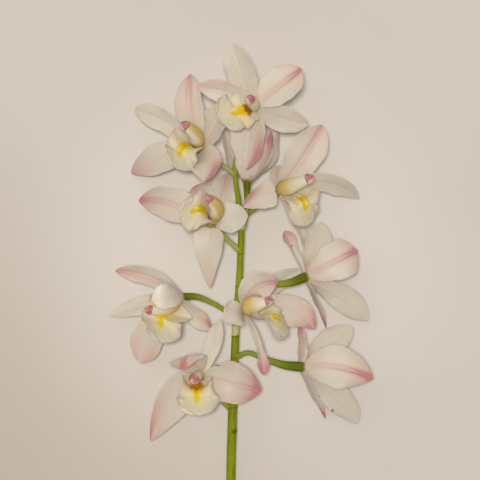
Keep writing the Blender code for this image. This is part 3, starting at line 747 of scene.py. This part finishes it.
# Lip
def lip_end(t):
    """0 up to where the rounding of the tip starts, and 1 at the tip."""
    return np.clip((t - LIP_END_FROM) / (1 - LIP_END_FROM), 0, 1)


def lip_half_width(t, s, bloom):
    """Half the width along a lip: claw, side lobes, notch and rounded midlobe."""
    lobes_mm, midlobe_mm, _, _, full_by, notch = bloom.lip_form
    late = smooth(*LIP_MIDLOBE_FROM, t)
    half = lobes_mm * (LIP_CLAW + (1 - LIP_CLAW) * smooth(0, full_by, t)) * (1 - late)
    half = half + midlobe_mm * late * np.maximum(1 - lip_end(t) ** 2.3, 0) ** 0.5
    half = half * (1 - notch * bump(t, LIP_NOTCH_AT, LIP_NOTCH_LONG))
    uneven = outline_waves(LIP_OUTLINE, 0.3 * bloom.base[0], t, s) * smooth(0.2, 0.5, t) * s**4
    return np.maximum(half * MM, LIP_TIP) * (1 + LIP_UNEVEN * uneven)


def lip_section(t, s, half, bloom):
    """How far out and up a lip's surface lies from its line: an arc, then straight flanks."""
    _, _, lobes_up, midlobe_down, _, _ = bloom.lip_form
    turn = np.radians(profile(LIP_TURNS, t))
    turn = turn * np.where(turn > 0, lobes_up, midlobe_down)
    turn = np.where(np.abs(turn) < 0.01, 0.01, turn)
    bent = np.minimum(np.abs(s), LIP_FOLD)
    flank = np.abs(s) - bent
    rate = turn / LIP_FOLD
    out = half * np.sign(s) * (np.sin(rate * bent) / rate + flank * np.cos(turn))
    lift = half * ((1 - np.cos(rate * bent)) / rate + flank * np.sin(turn))
    return out, lift


def lip_ridges(t, s):
    """The height of a lip's two ridges."""
    starts, ends = LIP_RIDGE_SPAN
    run = np.clip((t - starts) / (ends - starts), 0, 1)
    high = np.sin(math.pi * run**1.4) ** 0.6 * (t > starts) * (t < ends)
    width = LIP_RIDGE_WIDE * (0.8 + 0.5 * smooth(0.4, 0.6, t))
    return LIP_RIDGE * high * bump(np.abs(s), LIP_RIDGE_AT, width)


def lip_waves(t, s, half, bloom):
    """The height of the waves on a lip's midlobe and of the frill round it."""
    broad = smooth(0.3, 0.8, half / (bloom.lip_form[1] * MM))
    wave = LIP_WAVE * np.sin(LIP_WAVE_ACROSS * s + LIP_WAVE_ALONG * t) * s * s
    wave = wave * np.maximum(2 * t - 1, 0)
    margin = np.maximum(np.abs(s), lip_end(t)) ** 4 * smooth(0.5, 0.72, t)
    frill = LIP_FRILL * margin * np.sin(LIP_FRILL_ALONG * t + LIP_FRILL_ACROSS * s)
    return (wave + frill) * broad


def lip_colouring(t, s, bloom):
    """The values that the points of a lip carry for its colours."""
    throat_end, throat_dark, callus_at, callus_half = bloom.lip_marks
    return {
        "along": t,
        "across": s,
        "callus": (t - callus_at) / callus_half,
        "edge": np.maximum(np.abs(s), lip_end(t)),
        "throat": throat_dark * smooth(throat_end + 0.05, throat_end - 0.05, t),
    }


def lip(letter, bloom, surface):
    """The lip: claw, two side lobes turned up round the column, two ridges and a frilled midlobe."""
    base, faces_to, dorsal, side = bloom_frame(bloom)
    root = base + faces_to * BOSS_HEIGHT - dorsal * LIP_ROOT_DROP
    points = [root] + [place(*point) for point in bloom.lip]

    def curve(t):
        return spline(points, t)

    t = rows_to_tip(LIP_ROWS, LIP_CROWDING)
    middle, along = curve(t), heading(curve, t)
    whole = unit(points[-1] - points[0])
    across = square_to(side[None], unit(along * (1 - LIP_EVEN) + whole * LIP_EVEN))
    face = unit(np.cross(across, along))[:, None]
    t = t[:, None]
    s = np.linspace(-1, 1, LIP_COLUMNS + 1)[None, :]
    half = lip_half_width(t, s, bloom)
    out, lift = lip_section(t, s, half, bloom)
    lift = lift + lip_waves(t, s, half, bloom)
    grid = middle[:, None] + across[:, None] * out[..., None] + face * lift[..., None]
    ridge = lip_ridges(t, s)
    thick = thickness(LIP_THICK, LIP_THINNING, t)
    rings = sheet_rings(grid, face, thick, LIP_EDGE, -ridge, 0 * ridge)
    values = sheet_values(grid, 1, **lip_colouring(t, s, bloom))
    return Shape(rings, values).object(f"bloom_{letter}_labellum", surface)


# Column and anther cap
def column_curve(bloom):
    """The arched line of the column, from the boss to under the anther cap."""
    base, faces_to, dorsal, _ = bloom_frame(bloom)
    start = base + faces_to * (BOSS_HEIGHT - COLUMN_SUNK) + dorsal * COLUMN_RISE
    middle, end = (place(*point) for point in bloom.column)
    return lambda t: bezier(start, middle, end, t)


def column_section(t, phi, form):
    """How far out and up a column's surface lies: round behind, winged, hollow in front."""
    foot, middle, end = form[:3]
    swell = profile(((0, foot), (0.45, middle), (1, end)), t)
    swell = swell * (1 - COLUMN_NECK * (1 - t) ** 8)
    swell = swell * (1 - COLUMN_SHOULDER * smooth(0.88, 1, t))
    wing = 1 + COLUMN_WING * smooth(0.55, 0.85, t)
    low = np.maximum(-np.sin(phi), 0)
    hollow = COLUMN_HOLLOW * smooth(0.25, 0.6, t) * low**2.2
    x = COLUMN_WIDE * swell * wing * np.cos(phi)
    y = COLUMN_DEEP * swell * (np.maximum(np.sin(phi), 0) - COLUMN_FRONT * low**0.8 + hollow)
    return x, y


def column_tan(t, phi, form):
    """How tan a column is: all round near its foot, and only behind further along."""
    fades_at, tan_edge = form[4:]
    behind = smooth(tan_edge - 0.22, tan_edge + 0.22, np.sin(phi)) * (1 - 0.15 * t)
    tan = 1 - smooth(fades_at - 0.3, fades_at + 0.25, t)
    return tan * np.maximum(behind, 1 - smooth(0.18, 0.48, t))


def column(letter, bloom, surface):
    """The column: rounded behind, hollowed towards the lip, with narrow wings near its end."""
    _, faces_to, _, side = bloom_frame(bloom)
    curve = column_curve(bloom)
    t = np.linspace(0, 1, COLUMN_RINGS)
    first = smooth(0, 0.15, t)[:, None]
    along = unit(faces_to * (1 - first) + heading(curve, t) * first)
    across = square_to(side[None], along)
    up = np.cross(across, along)
    middle = curve(t)[:, None]
    t = t[:, None]
    phi = round_angles(COLUMN_SIDES)[None, :]
    x, y = column_section(t, phi, bloom.column_form)
    rings = middle + across[:, None] * x[..., None] + up[:, None] * y[..., None]
    past, share = np.array(COLUMN_CLOSE).T[..., None, None]
    closing = rings[-1] * share + middle[-1] * (1 - share) + along[-1] * past
    t = np.vstack((t, np.ones((len(COLUMN_CLOSE), 1))))
    values = {"along": t, "tan": column_tan(t, phi, bloom.column_form)}
    shape = Shape(np.concatenate((rings, closing)), values)
    return shape.object(f"bloom_{letter}_gynostemium", surface)


def anther_cap(letter, bloom, surface):
    """The cap on the column's end, with two lobes behind and a flatter side towards the lip."""
    curve = column_curve(bloom)
    along = heading(curve, 1)
    across = square_to(bloom_frame(bloom)[3], along)
    up = np.cross(across, along)
    foot = curve(1) - along * CAP_OVERLAP
    share = (np.sin(np.linspace(0, 0.5 * math.pi, CAP_RINGS)) * 0.995)[:, None]
    narrow = (1 - share**2.3) ** 0.5 * (0.96 + 0.06 * np.sin(math.pi * np.minimum(2 * share, 1)))
    narrow = narrow * bloom.column_form[3]
    phi = round_angles(CAP_SIDES)[None, :]
    from_back = (phi - 0.5 * math.pi + math.pi) % FULL_TURN - math.pi
    split = 1 - CAP_SPLIT * bump(from_back, 0, 0.32) * smooth(0.2, 0.6, share)
    low = np.maximum(-np.sin(phi), 0)
    x = CAP_WIDE * narrow * np.cos(phi) * split
    y = CAP_DEEP * narrow * np.sin(phi) * split * (1 - 0.25 * low)
    reach = CAP_LENGTH * share * (1 - CAP_DIMPLE * bump(from_back, 0, 0.4))
    rings = foot + along * reach[..., None] + across * x[..., None] + up * y[..., None]
    shape = Shape(rings, {"along": share, "belly": low})
    return shape.object(f"bloom_{letter}_operculum", surface)


# Stalk
def tube_ways(line, end_normal):
    """The ways along, up and sideways at each point of a tube's line, without a twist."""
    along = unit(np.gradient(line, axis=0))
    if end_normal is not None:
        pull = smooth(0.8, 1, np.linspace(0, 1, len(line)))[:, None]
        along = unit(along * (1 - pull) + end_normal * pull)
    up = np.empty_like(line)
    now = np.array((0, 0, 1))
    for k, way in enumerate(along):
        now = square_to(now, way)
        up[k] = now
    return along, up, np.cross(along, up)


def add_tube(shape, line, radii, sides, ribs, values, end_normal=None, slant=0):
    """Adds a tube along points, ribbed by shares of its radius, with its first face as a cut."""
    along, up, side = tube_ways(line, end_normal)
    angle = round_angles(sides)
    radius = radii[:, None] * (1 + ribs)
    x, y = radius * np.cos(angle), radius * np.sin(angle)
    rings = line[:, None] + side[:, None] * x[..., None] + up[:, None] * y[..., None]
    if slant:
        lift = np.exp(-np.arange(len(line)) / 3)[:, None] * np.sin(angle)[None, :]
        rings = rings + along[:, None] * (slant * lift)[..., None]
    inner = np.array((0.35, 0.8))[:, None, None]
    face = line[0] * (1 - inner) + rings[:1] * inner
    rings = np.concatenate((face, rings))
    ring_of = np.maximum(np.arange(len(rings)) - len(inner), 0)
    full = {key: np.broadcast_to(value, x.shape)[ring_of] for key, value in values.items()}
    cut = np.zeros(rings.shape[:2])
    cut[: len(inner)] = 1 if slant else 0
    shape.rings(rings, {**full, "cut": cut})


def add_bract(shape, start, way, up):
    """Adds the small pointed scale under a pedicel, hollow towards it."""
    rows, columns = BRACT_GRID
    t = np.linspace(0, 1, rows)[:, None]
    s = np.linspace(-1, 1, columns)[None, :]
    half = BRACT_HALF * np.maximum(1 - t**1.6, 0.02) ** 0.8
    lift = BRACT_HALF * 0.9 * s * s * (1 - 0.5 * t) - 0.5 * MM * np.sin(math.pi * t)
    grid = start + way * (BRACT_LENGTH * t)[..., None] + np.cross(way, up) * (half * s)[..., None]
    grid = grid + up * lift[..., None]
    flat = np.zeros((rows, columns))
    thick = np.full((rows, 1), BRACT_THICK)
    rings = sheet_rings(grid, up[None, None], thick, 0.5 * BRACT_THICK, flat, flat)
    values = {"cut": 0, "ovary": 0, "round": 0}
    values["pale"] = 0.75 * (1 - smooth(0.2, 1, t))
    values["brown"] = 0.5 * smooth(0.75, 1, t)
    shape.rings(rings, values)


def scar_distance(line, radii, angle):
    """How far the stalk's skin is from its scar, in scar radii, and more on its underside."""
    centre = place(*SCAR_AT, 0)
    x = line[:, :1] + np.cos(angle) * radii[:, None]
    away = np.hypot(centre[0] - x, centre[1] - line[:, 1:2]) / SCAR_RADIUS
    return away + 9 * (np.sin(angle) < 0)


def add_rachis(shape):
    """Adds the ribbed stalk with its slanted cut, node rings, pale sheath and healed scar."""
    t = np.linspace(0, 1, STALK_RINGS)
    line = spline([place(x, y, z) for x, y, z, _ in STALK_LINE], t)
    radii = spline([(radius * MM, 0, 0) for _, _, _, radius in STALK_LINE], t)[:, 0]
    angle = round_angles(STALK_SIDES)[None, :]
    ribs = sum(depth * np.cos(number * angle + turn) for number, depth, turn in STALK_RIBS)
    plan_y = (PLAN_CENTRE[1] - line[:, 1] / PLAN_STEP)[:, None] + 0.8 * np.cos(angle)
    sheath = smooth(SHEATH[0] - 3, SHEATH[0] + 1, plan_y)
    sheath = sheath * smooth(SHEATH[1] + 0.6, SHEATH[1] - 0.6, plan_y)
    nodes = sum(bump(plan_y, y, 0.8) for y in NODE_RINGS)
    from_scar = scar_distance(line, radii, angle)
    scar = bump(from_scar, 0.8, 0.35)
    ribs = ribs + 0.05 * sheath + 0.06 * nodes + 0.16 * scar - 0.1 * (from_scar < 0.4)
    values = {"ovary": 0, "round": np.sin(angle), "pale": sheath}
    values["brown"] = np.clip(0.75 * nodes + scar + (from_scar < 1) * 0.5, 0, 1)
    add_tube(shape, line, radii, STALK_SIDES, ribs, values, slant=CUT_SLANT)


def add_pedicel(shape, letter, bloom):
    """Adds a pedicel that thickens into a ribbed ovary, and its bract where it has one."""
    base, faces_to, _, _ = bloom_frame(bloom)
    end = base - faces_to * (0.6 * DISC_HALF)
    t = np.linspace(0, 1, PEDICEL_RINGS)
    line = spline([place(*point) for point in bloom.pedicel] + [end], t)
    grown = np.clip((t - (1 - OVARY_SHARE)) / OVARY_SHARE, 0, 1)
    full = OVARY_RADII.get(letter, OVARY_RADIUS)
    radii = PEDICEL_RADIUS + (full - PEDICEL_RADIUS) * grown**OVARY_SWELL
    radii = radii * (1 + 0.25 * (1 - smooth(0, 0.22, t))) * (1 - 0.1 * smooth(0.93, 1, t))
    grown = grown[:, None]
    twist = round_angles(PEDICEL_SIDES)[None, :] + PEDICEL_TWIST * t[:, None]
    ribs = OVARY_RIBS * grown * (np.abs(np.cos(3 * twist)) - 0.6)
    pale = letter in PALE_PEDICELS
    values = {"round": np.cos(6 * twist), "brown": 0}
    values["ovary"] = (0.35 if pale else 1) * (0.4 + 0.6 * grown)
    values["pale"] = (0.5 if pale else 0.12) * (1 - grown)
    add_tube(shape, line, radii, PEDICEL_SIDES, ribs, values, end_normal=faces_to)
    if letter in BRACTS:
        way = unit(line[BRACT_TO] - line[0])
        down = square_to(np.array((0, -1, 0.6)), way)
        add_bract(shape, line[BRACT_AT] + down * (1.05 * radii[BRACT_AT]), way, -down)


def flower_stalk(surface):
    """The rachis with its cut end, the pedicels with their ribbed ovaries, and the bracts."""
    shape = Shape()
    add_rachis(shape)
    for letter, bloom in BLOOMS.items():
        add_pedicel(shape, letter, bloom)
    return shape.object("stalk_skin", surface)


# Materials
class Surface:
    """A Principled material whose colour, roughness and relief come from small node graphs."""

    def __init__(self, name, colour):
        self.material = bpy.data.materials.new(name)
        self.material.use_nodes = True
        self.tree = self.material.node_tree
        self.shader = self.tree.nodes["Principled BSDF"]
        self.colour = colour
        self.carried = {}

    def feed(self, node, inputs):
        """Links or sets a node's inputs, by name or number. A colour comes without its alpha."""
        for key, value in inputs.items():
            socket = node.inputs[key]
            if isinstance(value, bpy.types.NodeSocket):
                self.tree.links.new(value, socket)
            else:
                socket.default_value = (*value, 1) if socket.type == "RGBA" else value

    def add(self, kind, *inputs, **settings):
        node = self.tree.nodes.new(kind)
        for key, value in settings.items():
            setattr(node, key, value)
        self.feed(node, dict(enumerate(inputs)))
        return node

    def __getitem__(self, name):
        """A value that the points of the piece carry."""
        if name not in self.carried:
            node = self.add("ShaderNodeAttribute", attribute_name=name)
            self.carried[name] = node.outputs["Fac"]
        return self.carried[name]

    def position(self):
        return self.add("ShaderNodeTexCoord").outputs["Object"]

    def math(self, operation, *values):
        return self.add("ShaderNodeMath", *values, operation=operation).outputs[0]

    def size(self, value):
        return self.math("ABSOLUTE", value)

    def times(self, first, second, plus=0):
        return self.math("MULTIPLY_ADD", first, second, plus)

    def vector(self, operation, first, second, output="Vector"):
        node = self.add("ShaderNodeVectorMath", first, second, operation=operation)
        return node.outputs[output]

    def smooth(self, value, low, high, most=1, least=0):
        """The least value up to low, the most from high, and an even slope between them."""
        values = (value, low, high, least, most)
        return self.add("ShaderNodeMapRange", *values, interpolation_type="SMOOTHSTEP").outputs[0]

    def noise(self, scale, detail=2, roughness=0.5, stretch=None):
        position = self.position()
        if stretch is not None:
            position = self.vector("MULTIPLY", position, stretch)
        node = self.add("ShaderNodeTexNoise")
        inputs = {"Vector": position, "Scale": scale, "Detail": detail, "Roughness": roughness}
        self.feed(node, inputs)
        return node.outputs["Fac"]

    def shaken(self, value, noise, reach):
        """The value, shifted by a noise to both sides."""
        return self.times(self.math("SUBTRACT", noise, 0.5), reach, value)

    def oval_patch(self, across, along, centre, half_length, half_width, blur):
        """1 inside an oval round a place along the middle line, 0 outside it."""
        x = self.math("DIVIDE", across, half_width)
        y = self.math("DIVIDE", self.math("SUBTRACT", along, centre), half_length)
        far = self.math("SQRT", self.times(x, x, self.times(y, y)))
        return self.smooth(far, 1 + blur, 1 - blur)

    def mix(self, share, first, second):
        node = self.add("ShaderNodeMix", share, data_type="RGBA")
        colours = [k for k, socket in enumerate(node.inputs) if socket.type == "RGBA"]
        self.feed(node, dict(zip(colours, (first, second))))
        return [socket for socket in node.outputs if socket.type == "RGBA"][0]

    def paint(self, share, colour):
        """Lays a share of a colour over the colour so far."""
        self.colour = self.mix(share, self.colour, colour)

    def bruise(self):
        """Paints the few brown bruises that the flowers have."""
        position = self.position()
        for x, y, across_mm, along_mm in BRUISES:
            near = self.vector("SUBTRACT", position, place(x, y, 0))
            grow = (1 / (across_mm * MM), 1 / (along_mm * MM), 0)
            far = self.vector("LENGTH", self.vector("MULTIPLY", near, grow), (0, 0, 0), "Value")
            self.paint(self.smooth(far, 1.1, 0.6, 0.8), BRUISE_BROWN)

    def grain(self, scale, smoothest, roughest):
        """A fine noise, which also sets the roughness."""
        grain = self.noise(scale, 2, 0.6)
        self.feed(self.shader, {"Roughness": self.smooth(grain, 0.3, 0.7, roughest, smoothest)})
        return grain

    def relief(self, height, strength, distance):
        node = self.add("ShaderNodeBump")
        self.feed(node, {"Strength": strength, "Distance": distance, "Height": height})
        self.feed(self.shader, {"Normal": node.outputs["Normal"]})

    def finish(self, subsurface, radius, scale, **more):
        inputs = {
            "Base Color": self.colour,
            "Metallic": 0,
            "Subsurface Weight": subsurface,
            "Subsurface Radius": radius,
            "Subsurface Scale": scale,
            "Specular IOR Level": 0.3,
        }
        self.feed(self.shader, {**inputs, **more})
        return self.material


# Colours of the petals
CREAM = (0.665, 0.59, 0.49)
CREAM_WARM = (0.68, 0.595, 0.465)
CREAM_PAINTED_LIGHT = (0.82, 0.735, 0.62)
CREAM_VEIN = (0.62, 0.55, 0.40)
GREENISH = (0.595, 0.545, 0.445)
PETAL_FOOT = (0.60, 0.56, 0.30)
DISC_OLIVE_AND_SHADE = (0.26, 0.24, 0.04)
ROSE = (0.56, 0.285, 0.26)
ROSE_DEEP = (0.43, 0.14, 0.15)

# Colours of the lip, from its outline to its throat, and of its outside and foot. The throat's
# brown and the foot's olive are partly painted shade
LIP_CREAM = (0.68, 0.605, 0.475)
LIP_YELLOWISH = (0.78, 0.65, 0.24)
CALLUS_YELLOW = (0.76, 0.53, 0.006)
CALLUS_ORANGE = (0.70, 0.36, 0.003)
THROAT_ORANGE = (0.60, 0.25, 0.003)
THROAT_BROWN_AND_SHADE = (0.32, 0.09, 0.004)
LIP_HONEY = (0.58, 0.42, 0.115)
LIP_OLIVE_AND_SHADE = (0.42, 0.34, 0.08)

# Colours of the column and the anther cap
COLUMN_CREAM = (0.74, 0.67, 0.51)
COLUMN_TAN = (0.62, 0.435, 0.10)
COLUMN_STREAK = (0.62, 0.50, 0.22)
COLUMN_BROWN = (0.42, 0.31, 0.05)
COLUMN_GREEN = (0.20, 0.19, 0.012)
CAP_RED = (0.46, 0.15, 0.155)
CAP_PALE = (0.74, 0.58, 0.46)
CAP_RIM = (0.34, 0.10, 0.06)

# Colours of the stalk
STALK_LIGHT = (0.25, 0.285, 0.004)
STALK_FIBRE = (0.165, 0.215, 0.006)
STALK_PALE = (0.33, 0.35, 0.025)
OVARY_GREEN = (0.10, 0.125, 0.003)
OVARY_FURROW = (0.045, 0.07, 0.002)
SHEATH_PALE = (0.52, 0.49, 0.20)
NODE_BROWN = (0.10, 0.085, 0.012)
CUT_PALE = (0.50, 0.50, 0.24)

# Bruises: their colour, and their plan x and y with half lengths in mm across and along
BRUISE_BROWN = (0.26, 0.11, 0.04)
BRUISES = (
    (217.5, 365, 2.2, 0.6),
    (333, 411.5, 1, 1.4),
    (320, 397, 0.6, 0.6),
    (292, 246, 0.7, 1),
    (281, 336, 0.6, 0.5),
)


def veins(skin):
    """Fine lines along a blade that wander a little."""
    wobble = skin.times(skin.noise(260), 2.4)
    lines = skin.math("SINE", skin.times(skin["across"], 19, wobble))
    return skin.math("POWER", skin.size(lines), 6)


def tepal_rose(skin, vein):
    """How rose a blade is: its wash, the twin stripes of its midrib, and veins behind its foot."""
    along, from_rib = skin["along"], skin.size(skin["across_mm"])
    apart = skin.times(skin.math("SINE", skin.times(along, math.pi)), 1.1, 0.35)
    lines = skin.smooth(skin.size(skin.math("SUBTRACT", from_rib, apart)), 1.5, 0.1, 0.85)
    halo = skin.smooth(from_rib, 4.4, 0.8, 0.6)
    stripe = skin.times(skin["stripe"], skin.math("MAXIMUM", lines, halo))
    behind_foot = skin.times(skin["back"], skin.smooth(along, 0.4, 0.04, 0.5))
    stripe = skin.times(behind_foot, skin.times(vein, 0.8, 0.2), stripe)
    wash = skin.times(skin["wash"], skin.times(vein, 0.15, 0.87))
    return skin.math("ADD", wash, stripe)


def tepal_surface():
    skin = Surface("tepal_skin", CREAM)
    along, green, vein = skin["along"], skin["green"], veins(skin)
    # Painted light: a paler cream on blades whose ground is below 0
    skin.paint(skin.smooth(green, 0, -1), CREAM_PAINTED_LIGHT)
    skin.paint(green, GREENISH)
    skin.paint(skin.times(vein, 0.045), CREAM_VEIN)
    skin.paint(skin.smooth(skin.noise(90), 0.35, 0.7, 0.22), CREAM_WARM)
    skin.paint(skin.smooth(along, 0.16, 0, 0.55), PETAL_FOOT)
    # Olive on the disc and boss: partly their own colour, partly painted shade under the column's foot
    skin.paint(skin.smooth(green, 1.2, 2), DISC_OLIVE_AND_SHADE)
    rose = tepal_rose(skin, vein)
    skin.paint(rose, ROSE)
    skin.paint(skin.times(skin.smooth(rose, 0.6, 1), 0.45), ROSE_DEEP)
    skin.bruise()
    grain = skin.grain(2600, 0.44, 0.56)
    skin.relief(skin.times(grain, 0.25, skin.times(vein, -0.6)), 0.13, 0.2 * MM)
    return skin.finish(0.35, (1, 0.72, 0.5), 2.2 * MM, **{"Sheen Weight": 0.08})


def lip_surface():
    skin = Surface("lip_skin", LIP_CREAM)
    along, patch = skin["along"], skin.noise(330)
    spread = skin.shaken(skin.size(skin["across"]), patch, 0.14)
    reach = skin.shaken(along, patch, 0.1)
    inner = skin.math("SUBTRACT", 1, skin["back"])
    halo = skin.times(skin.oval_patch(spread, reach, 0.56, 0.28, 0.6, 0.8), inner)
    skin.paint(skin.times(halo, 0.6), LIP_YELLOWISH)
    callus = skin.shaken(skin["callus"], patch, 0.6)
    core = skin.oval_patch(spread, callus, 0, 1, 0.3, 0.1)
    drop = skin.oval_patch(spread, reach, 0.71, 0.065, 0.16, 0.2)
    core = skin.times(skin.math("MAXIMUM", core, drop), inner)
    skin.paint(core, CALLUS_YELLOW)
    skin.paint(skin.times(skin.times(core, skin.smooth(along, 0.5, 0.3)), 0.5), CALLUS_ORANGE)
    # The throat's orange deepens to brown where it is darkest: partly its own colour, partly painted shade
    dark = skin["throat"]
    throat = skin.times(skin.smooth(spread, 0.46, 0.28), skin.smooth(dark, 0, 0.6))
    depth = skin.mix(skin.smooth(dark, 0.62, 0.95), THROAT_ORANGE, THROAT_BROWN_AND_SHADE)
    skin.paint(skin.times(skin.times(throat, inner), 0.9), depth)
    skin.paint(skin.times(skin["back"], skin.smooth(along, 0.6, 0.1, 0.95)), LIP_HONEY)
    # The lip's foot is olive: partly its own colour, partly painted shade under the column's foot
    skin.paint(skin.smooth(along, 0.12, 0, 0.6), LIP_OLIVE_AND_SHADE)
    margin = skin.smooth(skin.times(skin.noise(420, 3), 0.3, skin["edge"]), 0.95, 1.22, 0.6)
    skin.paint(skin.times(margin, skin.smooth(along, 0.3, 0.55)), ROSE)
    skin.bruise()
    skin.relief(skin.grain(2200, 0.42, 0.56), 0.3, 0.15 * MM)
    return skin.finish(0.35, (1, 0.7, 0.4), 2.0 * MM)


def column_surface():
    skin = Surface("column_skin", COLUMN_CREAM)
    skin.paint(skin["tan"], COLUMN_TAN)
    skin.paint(skin.smooth(skin.noise(420, 3), 0.45, 0.7, 0.25), COLUMN_STREAK)
    skin.paint(skin.smooth(skin["along"], 0.3, 0.05, 0.8), COLUMN_BROWN)
    skin.paint(skin.smooth(skin["along"], 0.1, 0, 0.9), COLUMN_GREEN)
    skin.relief(skin.grain(1800, 0.36, 0.48), 0.25, 0.15 * MM)
    return skin.finish(0.3, (1, 0.75, 0.35), 2.0 * MM)


def cap_surface():
    skin = Surface("cap_skin", CAP_RED)
    blotch = skin.noise(430)
    skin.paint(skin.smooth(skin.times(skin["belly"], 0.6, blotch), 0.4, 0.85, 0.9), CAP_PALE)
    skin.paint(skin.smooth(skin["along"], 0.2, 0, 0.35), CAP_RIM)
    skin.relief(skin.math("ADD", skin.grain(2200, 0.42, 0.54), blotch), 0.3, 0.15 * MM)
    return skin.finish(0.25, (1, 0.5, 0.4), 1.2 * MM)


def stalk_surface():
    skin = Surface("stalk_skin", STALK_LIGHT)
    ovary, fibre = skin["ovary"], skin.noise(900, 3, 0.55, (1, 0.12, 1))
    skin.paint(skin.smooth(fibre, 0.35, 0.7), STALK_FIBRE)
    skin.paint(skin.smooth(skin.noise(60), 0.4, 0.7, 0.5), STALK_PALE)
    skin.paint(skin.smooth(ovary, 0.5, 0.9, 0.85), OVARY_GREEN)
    furrow = skin.smooth(skin["round"], 0, -1)
    skin.paint(skin.times(furrow, skin.smooth(ovary, 0.5, 1, 0.5)), OVARY_FURROW)
    skin.paint(skin["pale"], SHEATH_PALE)
    skin.paint(skin.times(skin["brown"], 0.85), NODE_BROWN)
    skin.paint(skin["cut"], CUT_PALE)
    skin.relief(skin.times(skin.grain(1500, 0.42, 0.56), 0.4, fibre), 0.3, 0.2 * MM)
    return skin.finish(0.08, (0.6, 0.9, 0.2), 1.2 * MM, **{"Specular IOR Level": 0.04})


# The floor: its colours, the slope down which painted shade darkens it to the lower left, and
# the place under the stem round which painted light makes it palest, from the first distance
# out to the second
FLOOR_HALF = 9
FLOOR_CORNERS = ((-1, -1), (1, -1), (1, 1), (-1, 1))
FLOOR_TONES = ((0.655, 0.592, 0.535), (0.635, 0.572, 0.512))
FLOOR_PAINTED_SHADE = (0.53, 0.46, 0.38)
FLOOR_PAINTED_LIGHT = (0.72, 0.665, 0.60)
FLOOR_SLOPE = (0.75, 0.66, 0)
FLOOR_SHADE = (0.02, -0.19)
FLOOR_LIGHT_POOL_AT = (250, 250)
FLOOR_LIGHT_POOL_REACH = (0.06, 0.17)

# The light: name, strength, angle of the lamp and its turns about X and Y in degrees
LAMPS = (("overhead", 2.15, 7, (-1.5, -1.5)), ("soft_key", 0.42, 70, (-34, -30)))
LAMP_COLOUR = (1, 0.98, 0.95)
AIR_COLOUR = (1, 0.985, 0.96, 1)
AIR_LIGHT = 0.22

# The camera looks straight down and takes in a square of the plan at the blooms' height
CAMERA_AT = (240, 240)
CAMERA_HEIGHT = 3.5
BLOOM_HEIGHT = 0.03
VIEW_WIDTH = 480 * PLAN_STEP
SENSOR = 36


def floor_surface():
    skin = Surface("floor_plaster", FLOOR_TONES[0])
    skin.paint(skin.smooth(skin.noise(7, 3), 0.3, 0.7), FLOOR_TONES[1])
    # Painted shade: the floor darkens down a slope to the lower left
    slope = skin.vector("DOT_PRODUCT", skin.position(), FLOOR_SLOPE, "Value")
    skin.paint(skin.smooth(slope, *FLOOR_SHADE), FLOOR_PAINTED_SHADE)
    # Painted light: a pale pool round the place under the stem, where the blooms would shade it
    off = skin.vector("DISTANCE", skin.position(), place(*FLOOR_LIGHT_POOL_AT, 0), "Value")
    near, far = FLOOR_LIGHT_POOL_REACH
    skin.paint(skin.smooth(off, far, near, 0.75), FLOOR_PAINTED_LIGHT)
    skin.relief(skin.noise(700, 3, 0.6), 0.05, 0.3 * MM)
    return skin.finish(0, (1, 1, 1), 1.0 * MM, Roughness=0.85)


def floor():
    mesh = bpy.data.meshes.new("floor")
    corners = [(x * FLOOR_HALF, y * FLOOR_HALF, 0) for x, y in FLOOR_CORNERS]
    mesh.from_pydata(corners, [], [(0, 1, 2, 3)])
    mesh.materials.append(floor_surface())
    made = in_scene("floor", mesh)


def lights():
    world = bpy.data.worlds.new("studio_air")
    world.use_nodes = True
    air = world.node_tree.nodes["Background"].inputs
    air["Color"].default_value = AIR_COLOUR
    air["Strength"].default_value = AIR_LIGHT
    bpy.context.scene.world = world
    for name, energy, angle, turns in LAMPS:
        lamp = bpy.data.lights.new(name, "SUN")
        lamp.energy = energy
        lamp.angle = math.radians(angle)
        lamp.color = LAMP_COLOUR
        in_scene(name, lamp).rotation_euler = (*np.radians(turns), 0)


def camera():
    data = bpy.data.cameras.new("camera")
    data.sensor_width = SENSOR
    data.lens = SENSOR * (CAMERA_HEIGHT - BLOOM_HEIGHT) / VIEW_WIDTH
    data.clip_end = 50
    made = in_scene("camera", data)
    made.location = place(*CAMERA_AT, CAMERA_HEIGHT / MM)
    bpy.context.scene.camera = made


def pieces():
    """Every piece with the node that it replaces and its slot."""
    skins = {
        "tepal": tepal_surface(),
        "lip": lip_surface(),
        "column": column_surface(),
        "cap": cap_surface(),
        "stalk": stalk_surface(),
    }
    makers = (
        (sepals_and_petals, "sepals_petals", "tepal"),
        (lip, "lip", "lip"),
        (column, "column", "column"),
        (anther_cap, "anther_cap", "cap"),
    )
    yield flower_stalk(skins["stalk"]), "flower_stalk", "stalk"
    for letter, bloom in BLOOMS.items():
        for make, part, slot in makers:
            yield make(letter, bloom, skins[slot]), f"bloom_{letter}_{part}", slot


def main():
    bpy.context.scene.view_settings.view_transform = "Standard"
    floor()
    lights()
    camera()
    for made, node, slot in pieces():
        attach(made, "root")
        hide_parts(node)


main()
